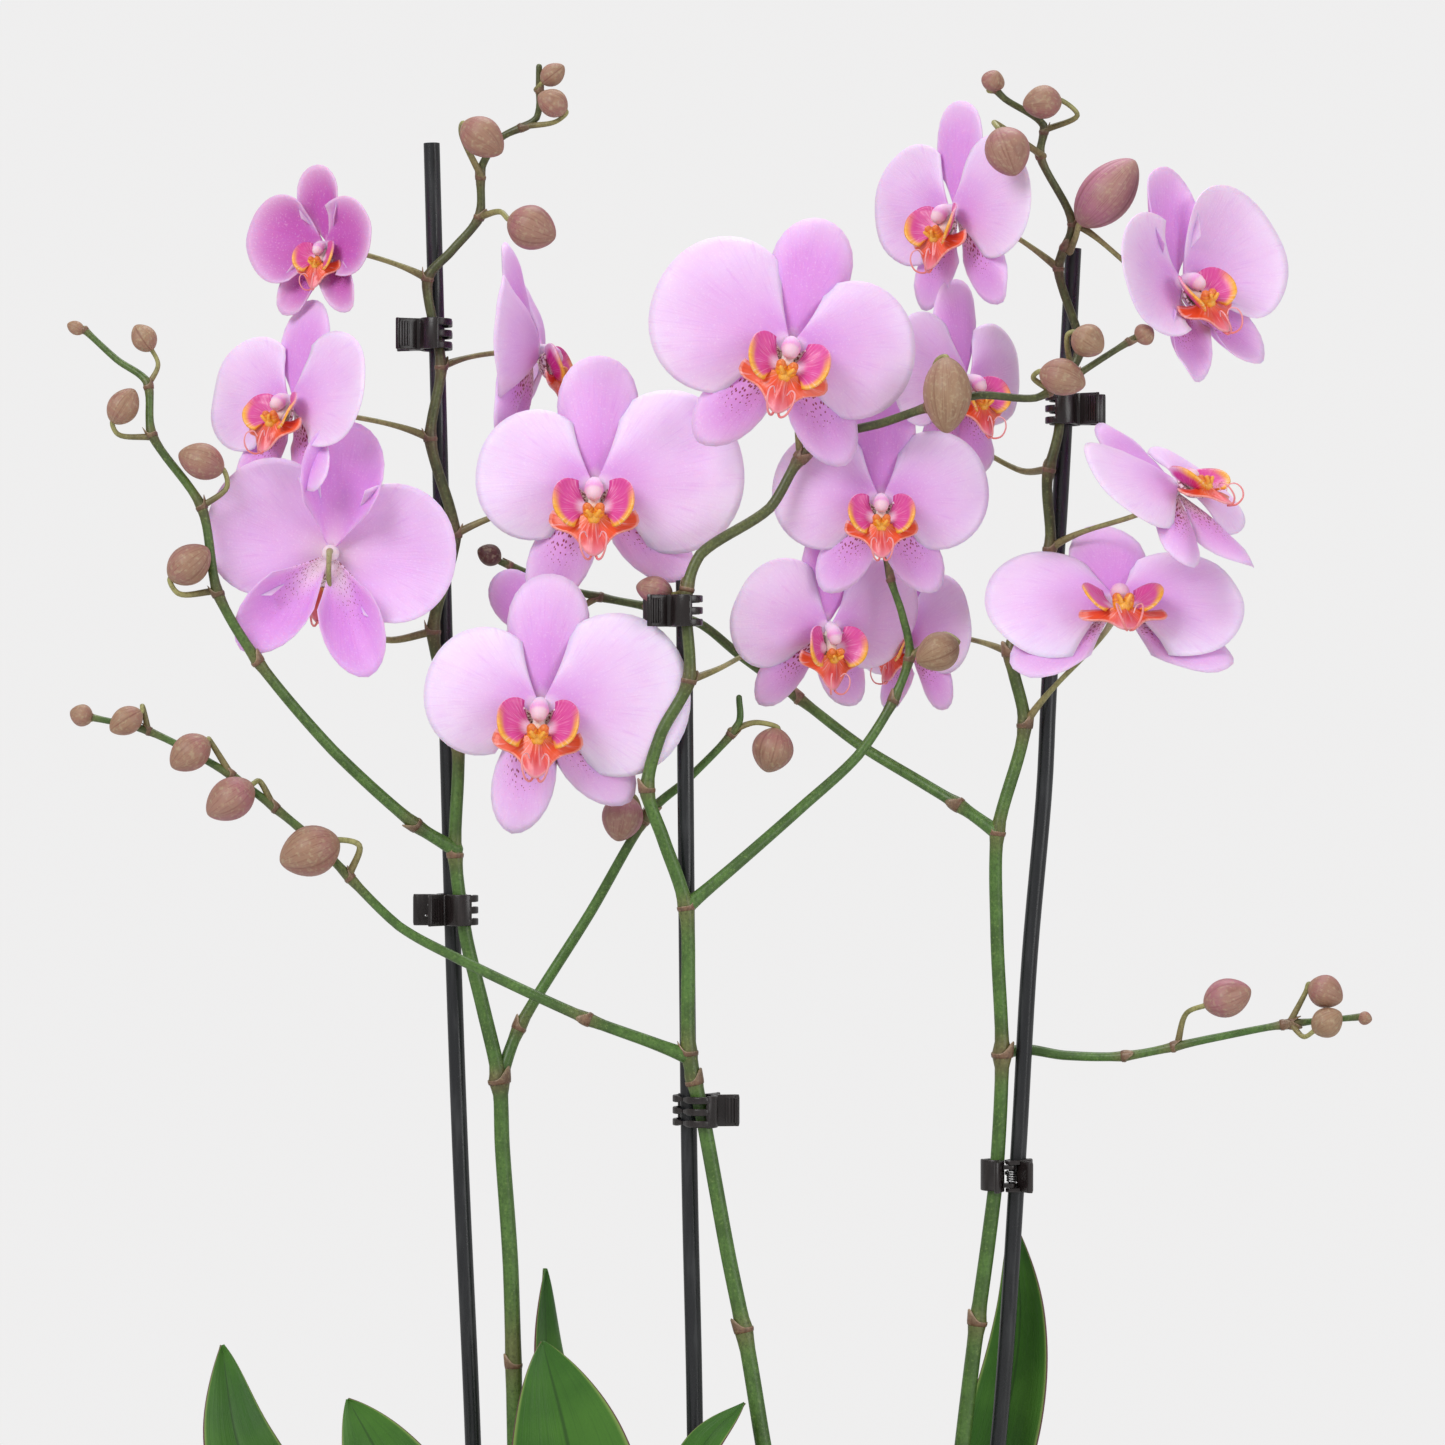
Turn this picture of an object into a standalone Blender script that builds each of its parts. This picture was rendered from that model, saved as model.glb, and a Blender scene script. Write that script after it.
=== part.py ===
"""Potted orchid: three moth orchids in one round planter, their flower spikes clipped to stakes.

Metres, +Z up. The origin is the centre of the planter's underside, and the plants' front faces -Y.
Every route is a list of points in millimetres whose height is measured from the top of the bark.
"""

import math

import bmesh
import bpy
from mathutils import Matrix, Vector

MM = 0.001

# Planter and bark
PLANTER_RADIUS = 125 * MM
PLANTER_BASE_RADIUS = 92 * MM
PLANTER_HEIGHT = 190 * MM
PLANTER_WALL = 6 * MM
PLANTER_FLOOR = 8 * MM
RIM_THICKNESS = 9 * MM
RIM_HEIGHT = 14 * MM
PLANTER_SIDES = 32
BARK_BELOW_RIM = 18 * MM
CLEARANCE = 0.3 * MM

# Stems, stakes and leaves
STAKE_RADIUS = 3 * MM
STAKE_DEPTH = 110 * MM
CROWN_RADIUS = 12 * MM
CROWN_HEIGHT = 46 * MM
ROOT_POCKET_DEPTH = 22 * MM
STEM_RADIUS = 3.1 * MM
STEM_TIP_RADIUS = 1.1 * MM
BRANCH_RADIUS = 2.3 * MM
STALK_RADIUS = 1.3 * MM
LEAF_THICKNESS = 2.2 * MM

# Flower, at full size
TEPAL_THICKNESS = 1.3 * MM
PETAL_FORWARD = 2.4 * MM
SEPAL_BACK = 1.1 * MM
PETAL_LENGTH = 45 * MM
PETAL_WIDTH = 56 * MM
SEPAL_LENGTH = 46 * MM
DORSAL_WIDTH = 28 * MM
LATERAL_WIDTH = 21 * MM
LIP_WIDTH = 26 * MM
COLUMN_RADIUS = 3.2 * MM
HUB_RADIUS = 4.2 * MM

# Stem clip: two jaws on a post, a coil spring round the post between them
CLIP_HEIGHT = 11.4 * MM
CLIP_THICKNESS = 1.4 * MM
CLIP_TOOTH = 3 * MM
CLIP_TAB_LENGTH = 8.5 * MM
CLIP_TAB_ANGLE = math.radians(30)
CLIP_EAR_RADIUS = 1.9 * MM
CLIP_EAR_HEIGHT = 1.4 * MM
CLIP_POST_RADIUS = 0.8 * MM
POST_CLEARANCE = 0.15 * MM
SPRING_WIRE_RADIUS = 0.35 * MM
SPRING_LEG = 4 * MM
JAW_FREE_SPACE = 1.3 * MM
JAW_GAP = 0.8 * MM
POST_INSET = 0.4 * MM
EAR_ANGLES = [math.radians(angle) for angle in (-90, -45, 0, 45, 90)]

BARK_TOP = PLANTER_HEIGHT - BARK_BELOW_RIM

CROWNS = {"left": (-72, 3), "centre": (30, -4), "right": (80, 12)}

STAKES = {
    "left": [
        (-88, 22, 0), (-91, 22, 118), (-95.5, 22, 220), (-98, 22, 291), (-100.5, 22, 382), (-106, 22, 589),
    ],
    "centre": [(-9, -5.5, 0), (-10, -5.5, 130), (-12, -5.5, 225), (-13.88, -5.5, 429)],
    "right": [
        (88, 27, 0), (101, 27, 118), (108, 27, 220), (112, 26, 291), (117.5, 26, 354), (119, 26, 387),
        (122, 26, 439), (123.5, 25, 464), (128, 25, 551),
    ],
}

# Each spike: its main stem, and side branches that leave it
STEMS = {
    "left": [
        (-74, 14, 34), (-75, 17, 98), (-77, 18, 180), (-80, 17, 224), (-81, 16, 248), (-87, 15, 275),
        (-93, 14, 300), (-97, 14, 330), (-96, 14, 372), (-105, 14, 411), (-97, 13, 446), (-106, 14, 481),
        (-102, 14, 507), (-107, 14, 539), (-98, 12, 549), (-88, 10, 561), (-87, 8, 579), (-80, 5, 589),
        (-67, 3, 596), (-66, 0, 614),
    ],
    "centre": [
        (31, -15, 34), (21, -18, 88), (15, -18, 118), (9, -16, 154), (2, -14, 188), (-7, -13, 237),
        (-12, -13, 260), (-13, -13, 312), (-21, -13, 336), (-27, -13, 354), (-22, -13, 374), (-12, -13, 393),
        (-13, -13, 424), (-8, -12, 438), (17, -5, 455), (28, -4, 473), (40, -6, 481), (57, -13, 485),
        (73, -23, 490), (91, -27, 494), (111, -28, 493), (122, -26, 499), (136, -24, 508), (147, -22, 515),
    ],
    "right": [
        (80, 22, 34), (84, 25, 80), (88, 26, 118), (93, 26, 159), (97, 26, 188), (100, 26, 213),
        (102, 24, 257), (100, 22, 300), (100, 20, 338), (110, 20, 377), (105, 20, 403), (111, 20, 426),
        (119, 18.5, 441), (118, 18, 466), (122, 17.5, 483), (124, 17.5, 500), (130, 18, 514),
        (122, 17, 543), (127, 14, 559), (115, 10, 583), (116, 8, 594), (102, 5, 603), (98, 5, 607),
    ],
}
BRANCHES = {
    "left": [
        [(-97, 14, 332), (-111, 8, 341), (-140, -2, 368), (-166, -15, 400), (-180, -16, 424),
         (-186, -14, 455), (-204, -12, 481), (-206, -10, 500), (-217, -8, 508), (-229, -6, 519)],
        [(-81, 16, 248), (-74, 20, 267), (-48, 20, 309), (-26, 12, 346), (-12, 9, 358), (6, 8, 378),
         (6, 8, 387)],
    ],
    "centre": [
        [(-13, -13, 259), (-26, -14, 264), (-48, -14, 272), (-94, -8, 293), (-116, -7, 305), (-148, -7, 337),
         (-176, -7, 359), (-206, -6, 375), (-227, -6, 380)],
        [(-13, -13, 312), (6, -8, 328), (28, 2, 347), (49, 10, 366), (62, 14, 386), (68, 15, 403),
         (65, 15, 418), (61, 15, 430), (57, 13.5, 450)],
    ],
    "right": [
        [(100, 20, 338), (86, 24, 348), (73, 29, 356), (50, 37, 370), (28, 42, 387), (6, 37, 403),
         (-8, 29, 414), (-26, 26, 420), (-41, 26, 423), (-58, 24, 427), (-72, 24, 433), (-82, 23, 437)],
        [(102, 24, 256), (104, 33, 257), (112, 35, 258), (125, 34, 256), (147, 29, 256), (179, 23, 263),
         (204, 20, 268), (232, 18, 271)],
    ],
}

# Each bud: its stalk's first points, the bud's base and tip, and its width
BUDS = {
    "left": [
        ([(-67, 2, 606)], (-65, -1, 608), (-57, -3, 614), 8),
        ([(-72, 4, 593), (-60, -2, 594)], (-56, -6, 597), (-66, -8, 603), 10),
        ([(-87, 8, 575), (-94, 0, 590)], (-93, -6, 593), (-79, -9, 582), 14),
        ([(-88, 10, 561), (-80, 2, 562)], (-77, -2, 559), (-60, -5, 552), 16),
        ([(-206, -10, 498), (-202, -10, 506)], (-204, -11, 511), (-210, -12, 520), 9),
        ([(-204, -12, 480), (-216, -12, 481)], (-218, -13, 485), (-210, -14, 497), 11),
        ([(-186, -14, 455), (-177, -14, 462)], (-178, -15, 468), (-194, -16, 474), 13),
        ([(-181, -14, 425), (-194, -16, 424)], (-197, -17, 429), (-183, -19, 440), 14),
        ([(3, 8, 375), (12, 10, 378)], (20, 10, 376), (16, 10, 360), 15),
        ([(-29, 14, 341), (-32, 12, 351)], (-35, 11, 352), (-38, 10, 335), 15),
    ],
    "centre": [
        ([(73, -23, 490), (76, -30, 506)], (79, -34, 507), (79, -37, 480), 17),
        ([(124, -26, 501), (122, -32, 515)], (124, -33, 516), (134, -36, 509), 12),
        ([(116, -27, 496), (110, -30, 500)], (112, -34, 502), (128, -36, 497), 13),
        ([(-206, -6, 375), (-208, -7, 384)], (-208, -9, 382), (-219, -11, 375), 10),
        ([(-176, -7, 359), (-184, -8, 372)], (-184, -10, 372), (-197, -12, 362), 13),
        ([(-161, -7, 348), (-166, -8, 357)], (-168, -11, 356), (-184, -13, 345), 15),
        ([(-134, -7, 323), (-130, -10, 334)], (-137, -12, 336), (-158, -14, 328), 18),
        ([(67, 15, 401), (80, 10, 410)], (85, 6, 407), (70, 3, 400), 14),
    ],
    "right": [
        ([(116, 8, 592), (128, 4, 597)], (122, 1, 602), (108, -2, 600), 12),
        ([(116, 10, 583), (97, -16, 592)], (98, -23, 589), (104, -27, 572), 16),
        ([(125, 15, 555), (131, 12, 575)], (134, 10, 580), (143, 5, 558), 22),
        ([(166, 26, 260), (169, 22, 272)], (175, 18, 275), (192, 17, 281), 14),
        ([(206, 20, 268), (212, 18, 280)], (213, 17, 283), (225, 16, 277), 12),
        ([(-78, 23, 435)], (-81, 23, 437), (-89, 20, 441), 8),
    ],
}

# Each flower: the spike it grows on, its stalk's first points, its centre, the way it turns (to the
# right, upwards, and rolled clockwise, in degrees), its size, and how far its petals close forwards
FLOWERS = {
    "flower_01": ("left", [(-107, 14, 539)], (-143, 8, 550), (-32, 0, 0), 0.61, 0.4),
    "flower_02": ("left", [(-106, 14, 481)], (-155, 3, 493), (-40, 12, 0), 0.82, 0.15),
    "flower_03": ("left", [(-105, 14, 411), (-128, 11, 400), (-141, 4, 400), (-141, -8, 410)],
                  (-141, 1, 439), (180, 0, -12), 1.0, -0.12),
    "flower_04": ("left", [(-102, 14, 507)], (-69, 33, 514), (82, 0, 0), 0.85, -0.1),
    "flower_05": ("left", [(-97, 13, 446)], (-46, -2, 463), (0, 0, 0), 1.0, 0),
    "flower_06": ("left", [(-96, 14, 372)], (-65, -15, 384), (0, 0, 3), 1.0, 0),
    "flower_07": ("right", [(-45, 26, 424)], (-65, 14, 408), (0, 0, -36), 0.62, 0),
    "flower_08": ("centre", [(28, -4, 473)], (24, -22, 512), (4, 0, 14), 1.0, 0),
    "flower_09": ("right", [(122, 17, 543)], (84, 12, 563), (-50, 0, 0), 0.85, 0.1),
    "flower_10": ("right", [(119, 18, 470), (108, 36, 471), (85, 36, 487)], (88, 17, 502), (46, 0, 0),
                  0.79, 0),
    "flower_11": ("centre", [(61, 15, 430)], (57, 2, 458), (0, 0, 0), 0.82, 0),
    "flower_12": ("centre", [(-12, -13, 393), (-2, -4, 397), (9, 18, 403)], (38, 20, 413), (26, -18, 0),
                  0.8, 0),
    "flower_13": ("right", [(127, 14, 559)], (165, 5, 536), (42, 15, -14), 0.88, 0.35),
    "flower_14": ("right", [(119, 18.5, 441)], (162, -10, 462), (50, 45, 0), 0.85, 0),
    "flower_15": ("right", [(110, 20, 377)], (141, -10, 420), (5, 42, 0), 0.98, 0),
    "flower_16": ("right", [(105, 20, 403)], (68, 52, 411), (-50, 0, 0), 0.7, 0),
}

# Each leaf: its plant, its midrib from the crown to the tip, its width, and the way its upper face looks
LEAVES = {
    "left_leaf_1": ("left", [(-72, 3, 14), (-110, -4, 34), (-152, -8, 74), (-174, -6, 118), (-180, 0, 154)],
                    42, (0.6, -1, 0.3)),
    "left_leaf_2": ("left", [(-72, 3, 25), (-92, -18, 46), (-108, -26, 86), (-122, -28, 118),
                             (-133, -26, 138)], 46, (0.2, -1, 0.2)),
    "left_leaf_3": ("left", [(-72, 3, 38), (-57, -18, 54), (-50, -26, 84), (-54, -27, 118), (-64, -22, 158)],
                    50, (0, -1, 0.1)),
    "left_leaf_4": ("left", [(-72, 3, 30), (-58, 14, 60), (-60, 20, 110), (-65, 18, 150), (-64, 12, 180)],
                    26, (1, -0.25, 0)),
    "left_leaf_5": ("left", [(-72, 3, 8), (-63, 36, 32), (-66, 74, 52), (-74, 112, 48), (-82, 140, 28)],
                    50, (0, 0.1, 1)),
    "centre_leaf_1": ("centre", [(30, -4, 30), (8, -32, 50), (-8, -38, 84), (-8, -34, 118), (8, -30, 137)],
                      36, (-0.9, -0.6, 0.5)),
    "centre_leaf_2": ("centre", [(30, -4, 12), (36, -40, 40), (44, -84, 56), (50, -122, 44), (54, -148, 18)],
                      52, (0, -0.1, 1)),
    "centre_leaf_3": ("centre", [(30, -4, 10), (18, 36, 36), (6, 76, 56), (-4, 114, 54), (-10, 142, 36)],
                      52, (0, 0.1, 1)),
    "centre_leaf_4": ("centre", [(30, -4, 30), (34, 18, 56), (36, 34, 84), (40, 44, 100), (44, 50, 108)],
                      30, (0, -1, 0.5)),
    "right_leaf_1": ("right", [(80, 12, 16), (76, 36, 36), (90, 44, 80), (104, 45, 118), (110, 44, 160),
                               (107, 42, 195)], 30, (-0.4, -1, 0)),
    "right_leaf_2": ("right", [(80, 12, 10), (114, 4, 40), (152, -6, 58), (184, -14, 50), (206, -18, 30)],
                     52, (0.1, 0, 1)),
    "right_leaf_3": ("right", [(80, 12, 27), (98, -26, 52), (114, -64, 62), (126, -98, 50), (134, -122, 26)],
                     48, (0.1, -0.1, 1)),
}

# Each clip: its plant, its height above the bark, and the side that its finger tabs point to
CLIPS = {
    "clip_1": ("left", 519, (-1, 0)),
    "clip_2": ("left", 310, (-1, 0)),
    "clip_3": ("centre", 418, (-1, 0)),
    "clip_4": ("centre", 239, (1, 0)),
    "clip_5": ("right", 492, (1, 0)),
    "clip_6": ("right", 213, (0, -1)),
}

COLOURS = {
    "glaze": ((0.82, 0.81, 0.78), 0.25, 0),
    "bark": ((0.16, 0.09, 0.05), 0.9, 0),
    "crown": ((0.20, 0.30, 0.12), 0.6, 0),
    "leaf": ((0.13, 0.25, 0.06), 0.4, 0),
    "stem": ((0.16, 0.24, 0.10), 0.6, 0),
    "petal": ((0.82, 0.58, 0.82), 0.6, 0),
    "stake": ((0.02, 0.02, 0.025), 0.3, 0),
    "clip": ((0.05, 0.03, 0.03), 0.4, 0),
    "spring": ((0.5, 0.5, 0.5), 0.3, 1),
}


def empty_scene():
    for obj in list(bpy.data.objects):
        bpy.data.objects.remove(obj, do_unlink=True)


def collection(name):
    made = bpy.data.collections.new(name)
    bpy.context.scene.collection.children.link(made)
    return made


def material(slot):
    found = bpy.data.materials.get(slot)
    if found:
        return found
    colour, roughness, metallic = COLOURS[slot]
    made = bpy.data.materials.new(slot)
    made.use_nodes = True
    shader = made.node_tree.nodes["Principled BSDF"]
    shader.inputs["Base Color"].default_value = (*colour, 1)
    shader.inputs["Roughness"].default_value = roughness
    shader.inputs["Metallic"].default_value = metallic
    return made


def place(route_point):
    """A route's point, in millimetres above the bark, as a place in metres."""
    x, y, z = route_point
    return Vector((x * MM, y * MM, z * MM + BARK_TOP))


def add(name, mesh, slot, group):
    obj = bpy.data.objects.new(name, mesh)
    mesh.materials.clear()
    mesh.materials.append(material(slot))
    group.objects.link(obj)
    return obj


def helper(name, mesh):
    """A cutter, or the pieces that a union adds: left out of the model itself."""
    obj = bpy.data.objects.new(name, mesh)
    obj.hide_render = True
    obj.display_type = "WIRE"
    HELPERS.objects.link(obj)
    return obj


def mesh_of(name, bm):
    mesh = bpy.data.meshes.new(name)
    bmesh.ops.recalc_face_normals(bm, faces=bm.faces)
    bm.to_mesh(mesh)
    bm.free()
    return mesh


def smooth(obj, angle=40):
    obj.data.shade_smooth()
    obj.data.set_sharp_from_angle(angle=math.radians(angle))


def boolean(obj, other, operation, self_union=False):
    modifier = obj.modifiers.new(operation.lower(), "BOOLEAN")
    modifier.operation = operation
    modifier.solver = "EXACT"
    modifier.object = other
    modifier.use_self = self_union


def tube_mesh(name, routes, resolution=1):
    """Closed tubes along routes of (place, radius) points, as one mesh."""
    curve = bpy.data.curves.new(name, "CURVE")
    curve.dimensions = "3D"
    curve.bevel_depth = 1
    curve.bevel_resolution = resolution
    curve.use_fill_caps = True
    for route in routes:
        spline = curve.splines.new("POLY")
        spline.points.add(len(route) - 1)
        for point, (where, radius) in zip(spline.points, route):
            point.co = (*where, 1)
            point.radius = radius
    guide = bpy.data.objects.new(name, curve)
    HELPERS.objects.link(guide)
    graph = bpy.context.evaluated_depsgraph_get()
    mesh = bpy.data.meshes.new_from_object(guide.evaluated_get(graph))
    bpy.data.objects.remove(guide)
    bm = bmesh.new()
    bm.from_mesh(mesh)
    bmesh.ops.remove_doubles(bm, verts=bm.verts, dist=0.00002)
    bpy.data.meshes.remove(mesh)
    return mesh_of(name, bm)


def tapered(points, first, last):
    """(place, radius) points whose radius runs evenly from first to last."""
    steps = max(len(points) - 1, 1)
    return [(point, first + (last - first) * i / steps) for i, point in enumerate(points)]


def bezier(a, b, c, d, steps):
    route = []
    for i in range(steps + 1):
        t = i / steps
        s = 1 - t
        route.append(a * s**3 + b * 3 * s * s * t + c * 3 * s * t * t + d * t**3)
    return route


def profile_mesh(name, profile):
    """A profile of (radius, height) points, joined by edges, for a Screw modifier to turn."""
    bm = bmesh.new()
    verts = [bm.verts.new((radius, 0, height)) for radius, height in profile]
    for first, second in zip(verts, verts[1:]):
        bm.edges.new((first, second))
    mesh = bpy.data.meshes.new(name)
    bm.to_mesh(mesh)
    bm.free()
    return mesh


def turn(obj, steps):
    """Turns an object's profile about Z."""
    screw = obj.modifiers.new("turn", "SCREW")
    screw.steps = steps
    screw.render_steps = steps
    screw.use_merge_vertices = True
    screw.merge_threshold = 0.00005
    screw.use_smooth_shade = True


def cylinder(radius, height, sides, base):
    """A closed cylinder standing on base, as a mesh."""
    bm = bmesh.new()
    bmesh.ops.create_cone(
        bm, cap_ends=True, segments=sides, radius1=radius, radius2=radius, depth=height,
        matrix=Matrix.Translation(base + Vector((0, 0, height / 2))),
    )
    return mesh_of("cylinder", bm)


# ---- Planter and bark ------------------------------------------------------------------------


def inner_radius(height):
    """The planter's inside radius at a height, which follows its tapered wall."""
    share = height / PLANTER_HEIGHT
    return PLANTER_BASE_RADIUS + (PLANTER_RADIUS - PLANTER_BASE_RADIUS) * share - PLANTER_WALL


def planter(parts):
    rim_inner = PLANTER_RADIUS - RIM_THICKNESS
    rim_foot = PLANTER_HEIGHT - RIM_HEIGHT
    under_rim = PLANTER_RADIUS - 3 * MM
    foot = 3 * MM
    profile = [
        (0, PLANTER_FLOOR),
        (inner_radius(PLANTER_FLOOR), PLANTER_FLOOR),
        (inner_radius(rim_foot), rim_foot),
        (rim_inner, PLANTER_HEIGHT - 2 * MM),
        (rim_inner + 2 * MM, PLANTER_HEIGHT),
        (PLANTER_RADIUS - 2 * MM, PLANTER_HEIGHT),
        (PLANTER_RADIUS, PLANTER_HEIGHT - 2 * MM),
        (PLANTER_RADIUS, rim_foot),
        (under_rim, rim_foot - 2 * MM),
        (PLANTER_BASE_RADIUS, foot),
        (PLANTER_BASE_RADIUS - foot, 0),
        (0, 0),
    ]
    turn(add("planter", profile_mesh("planter", profile), "glaze", parts), PLANTER_SIDES)


def bark(parts):
    bottom = PLANTER_FLOOR + CLEARANCE
    wall_gap = 1 * MM
    dome = 5 * MM
    top_radius = min(inner_radius(BARK_TOP - dome), PLANTER_RADIUS - RIM_THICKNESS) - wall_gap
    profile = [
        (0, BARK_TOP),
        (top_radius * 0.85, BARK_TOP),
        (top_radius, BARK_TOP - dome),
        (inner_radius(bottom) - wall_gap, bottom),
        (0, bottom),
    ]
    obj = add("potting_bark", profile_mesh("potting_bark", profile), "bark", parts)
    turn(obj, PLANTER_SIDES)
    cutters = []
    for name, route in STAKES.items():
        below = place(route[0]) - Vector((0, 0, STAKE_DEPTH + CLEARANCE))
        above = place(route[0]) + Vector((0, 0, 2 * dome))
        cutters.append([(below, STAKE_RADIUS + CLEARANCE), (above, STAKE_RADIUS + CLEARANCE)])
    boolean(obj, helper("bark_stake_holes", tube_mesh("holes", cutters, 2)), "DIFFERENCE")
    for name, (x, y) in CROWNS.items():
        base = place((x, y, 0)) - Vector((0, 0, ROOT_POCKET_DEPTH + CLEARANCE))
        pocket = cylinder(CROWN_RADIUS + CLEARANCE, ROOT_POCKET_DEPTH + 2 * dome, 12, base)
        boolean(obj, helper(f"bark_{name}_pocket", pocket), "DIFFERENCE")


def stake(name, parts):
    route = [place(point) for point in STAKES[name]]
    route[0] -= Vector((0, 0, STAKE_DEPTH))
    route.insert(1, place(STAKES[name][0]) + Vector((0, 0, 10 * MM)))
    mesh = tube_mesh("stake", [tapered(route, STAKE_RADIUS, STAKE_RADIUS)], 2)
    smooth(add(f"{name}_stake", mesh, "stake", parts))


# ---- Plants ----------------------------------------------------------------------------------


def crown(name, parts):
    """The short leafy stem with its aerial roots, standing in its pocket in the bark."""
    x, y = CROWNS[name]
    base = place((x, y, 0)) - Vector((0, 0, ROOT_POCKET_DEPTH))
    bm = bmesh.new()
    height = CROWN_HEIGHT + ROOT_POCKET_DEPTH
    bmesh.ops.create_cone(
        bm, cap_ends=True, segments=12, radius1=CROWN_RADIUS, radius2=CROWN_RADIUS * 0.75, depth=height,
        matrix=Matrix.Translation(base + Vector((0, 0, height / 2))),
    )
    obj = add(f"{name}_crown", mesh_of("crown", bm), "crown", parts)
    socket = [(place(point), STEM_RADIUS + CLEARANCE) for point in STEMS[name][:2]]
    socket[0] = (socket[0][0] - Vector((0, 0, CLEARANCE)), socket[0][1])
    boolean(obj, helper(f"{name}_spike_socket", tube_mesh("socket", [socket], 1)), "DIFFERENCE")


def leaf(name, parts):
    """A strap leaf folded along its midrib, with its foot cut to the crown."""
    plant, route, width, face = LEAVES[name]
    spine = [place(point) for point in route]
    steps = len(spine) - 1
    bm = bmesh.new()
    bmesh.ops.create_grid(bm, x_segments=2, y_segments=2 * steps, size=1)
    for vert in bm.verts:
        across = vert.co.x
        along = (vert.co.y + 1) / 2 * steps
        first = min(int(along), steps - 1)
        share = along - first
        middle = spine[first].lerp(spine[first + 1], share)
        forward = (spine[min(first + 1, steps)] - spine[first]).normalized()
        up = Vector(face).normalized()
        side = forward.cross(up).normalized()
        normal = side.cross(forward).normalized()
        done = along / steps
        half = width * MM / 2 * (0.34 + 0.66 * math.sin(math.pi * min(done / 0.62, 1) / 2))
        if done > 0.62:
            half *= math.sqrt(max(1 - ((done - 0.62) / 0.4) ** 2, 0))
        fold = 0.28 * (1 - 0.5 * done)
        vert.co = middle + side * (across * half) + normal * (abs(across) * half * fold)
    bmesh.ops.recalc_face_normals(bm, faces=bm.faces)
    bmesh.ops.solidify(bm, geom=bm.faces[:], thickness=LEAF_THICKNESS)
    obj = add(name, mesh_of(name, bm), "leaf", parts)
    x, y = CROWNS[plant]
    clear = cylinder(CROWN_RADIUS + CLEARANCE, 3 * CROWN_HEIGHT, 12, place((x, y, -10)))
    boolean(obj, helper(f"{name}_foot_cut", clear), "DIFFERENCE")
    smooth(obj, 60)


def facing(turn):
    """The rotation of a flower that starts facing -Y and turns right, up and clockwise."""
    yaw, pitch, roll = (math.radians(angle) for angle in turn)
    return Matrix.Rotation(yaw, 3, "Z") @ Matrix.Rotation(-pitch, 3, "X") @ Matrix.Rotation(roll, 3, "Y")


def stalk_route(name):
    """A flower's stalk: from its stem, round to the flower's back."""
    _, start, centre, turn, size, _ = FLOWERS[name]
    back = facing(turn) @ Vector((0, 1, 0))
    end = place(centre) + back * (HUB_RADIUS * size + CLEARANCE)
    points = [place(point) for point in start]
    reach = (end - points[0]).length
    if len(points) > 1:
        return [*points, end + back * 4 * MM, end]
    lift = Vector((0, 0, 0.08 * reach))
    return bezier(points[0], points[0].lerp(end, 0.3) + lift, end + back * 0.3 * reach, end, 4)


def bud_mesh(bm, base, tip, width):
    axis = tip - base
    turn = axis.to_track_quat("Z", "X").to_matrix().to_4x4()
    scale = Matrix.Diagonal((width * MM / 2, width * MM / 2, axis.length / 2, 1))
    where = Matrix.Translation((base + tip) / 2) @ turn @ scale
    bmesh.ops.create_uvsphere(bm, u_segments=6, v_segments=4, radius=1, matrix=where)


def spike(name, parts):
    """One flower spike: main stem, branches, flower stalks and buds, grown as one piece."""
    stem = tapered([place(point) for point in STEMS[name]], STEM_RADIUS, STEM_TIP_RADIUS)
    obj = add(f"{name}_spike", tube_mesh("stem", [stem]), "stem", parts)
    branches = []
    stalks = []
    for route in BRANCHES[name]:
        branches.append(tapered([place(point) for point in route], BRANCH_RADIUS, STEM_TIP_RADIUS))
    for flower_name, flower in FLOWERS.items():
        if flower[0] == name:
            stalks.append(tapered(stalk_route(flower_name), STALK_RADIUS, STALK_RADIUS))
    for stalk, base, _, _ in BUDS[name]:
        points = [place(point) for point in [*stalk, base]]
        inner = points[-1] + (points[-1] - points[-2]).normalized() * MM
        stalks.append(tapered([*points, inner], STALK_RADIUS, STALK_RADIUS))
    growth = bmesh.new()
    growth.from_mesh(tube_mesh("branches", branches))
    growth.from_mesh(tube_mesh("stalks", stalks, 0))
    for _, base, tip, width in BUDS[name]:
        bud_mesh(growth, place(base), place(tip), width)
    boolean(obj, helper(f"{name}_growth", mesh_of("growth", growth)), "UNION", self_union=True)


def tepal(bm, length, width, direction, bend, offset, along_steps, fullness):
    """A petal or sepal: a sheet that leaves the hub in a direction in the flower's plane."""
    sheet = bmesh.new()
    bmesh.ops.create_grid(sheet, x_segments=2, y_segments=along_steps, size=1)
    out = Vector((math.sin(direction), 0, math.cos(direction)))
    side = Vector((math.cos(direction), 0, -math.sin(direction)))
    foot = 0.55 * HUB_RADIUS
    for vert in sheet.verts:
        along = (vert.co.y + 1) / 2
        half = width / 2 * (0.08 + 0.92 * math.sin(math.pi * (0.02 + 0.88 * along) ** fullness))
        reach = foot + (length - foot) * along - 0.1 * vert.co.x**2 * half * along
        depth = offset + bend * along**2 * length
        vert.co = out * reach + side * (vert.co.x * half) + Vector((0, depth, 0))
    bmesh.ops.recalc_face_normals(sheet, faces=sheet.faces)
    bmesh.ops.solidify(sheet, geom=sheet.faces[:], thickness=TEPAL_THICKNESS)
    join(bm, sheet)


def join(bm, piece):
    """Adds a loose piece to bm."""
    bmesh.ops.recalc_face_normals(piece, faces=piece.faces)
    mesh = bpy.data.meshes.new("piece")
    piece.to_mesh(mesh)
    piece.free()
    bm.from_mesh(mesh)
    bpy.data.meshes.remove(mesh)


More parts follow.
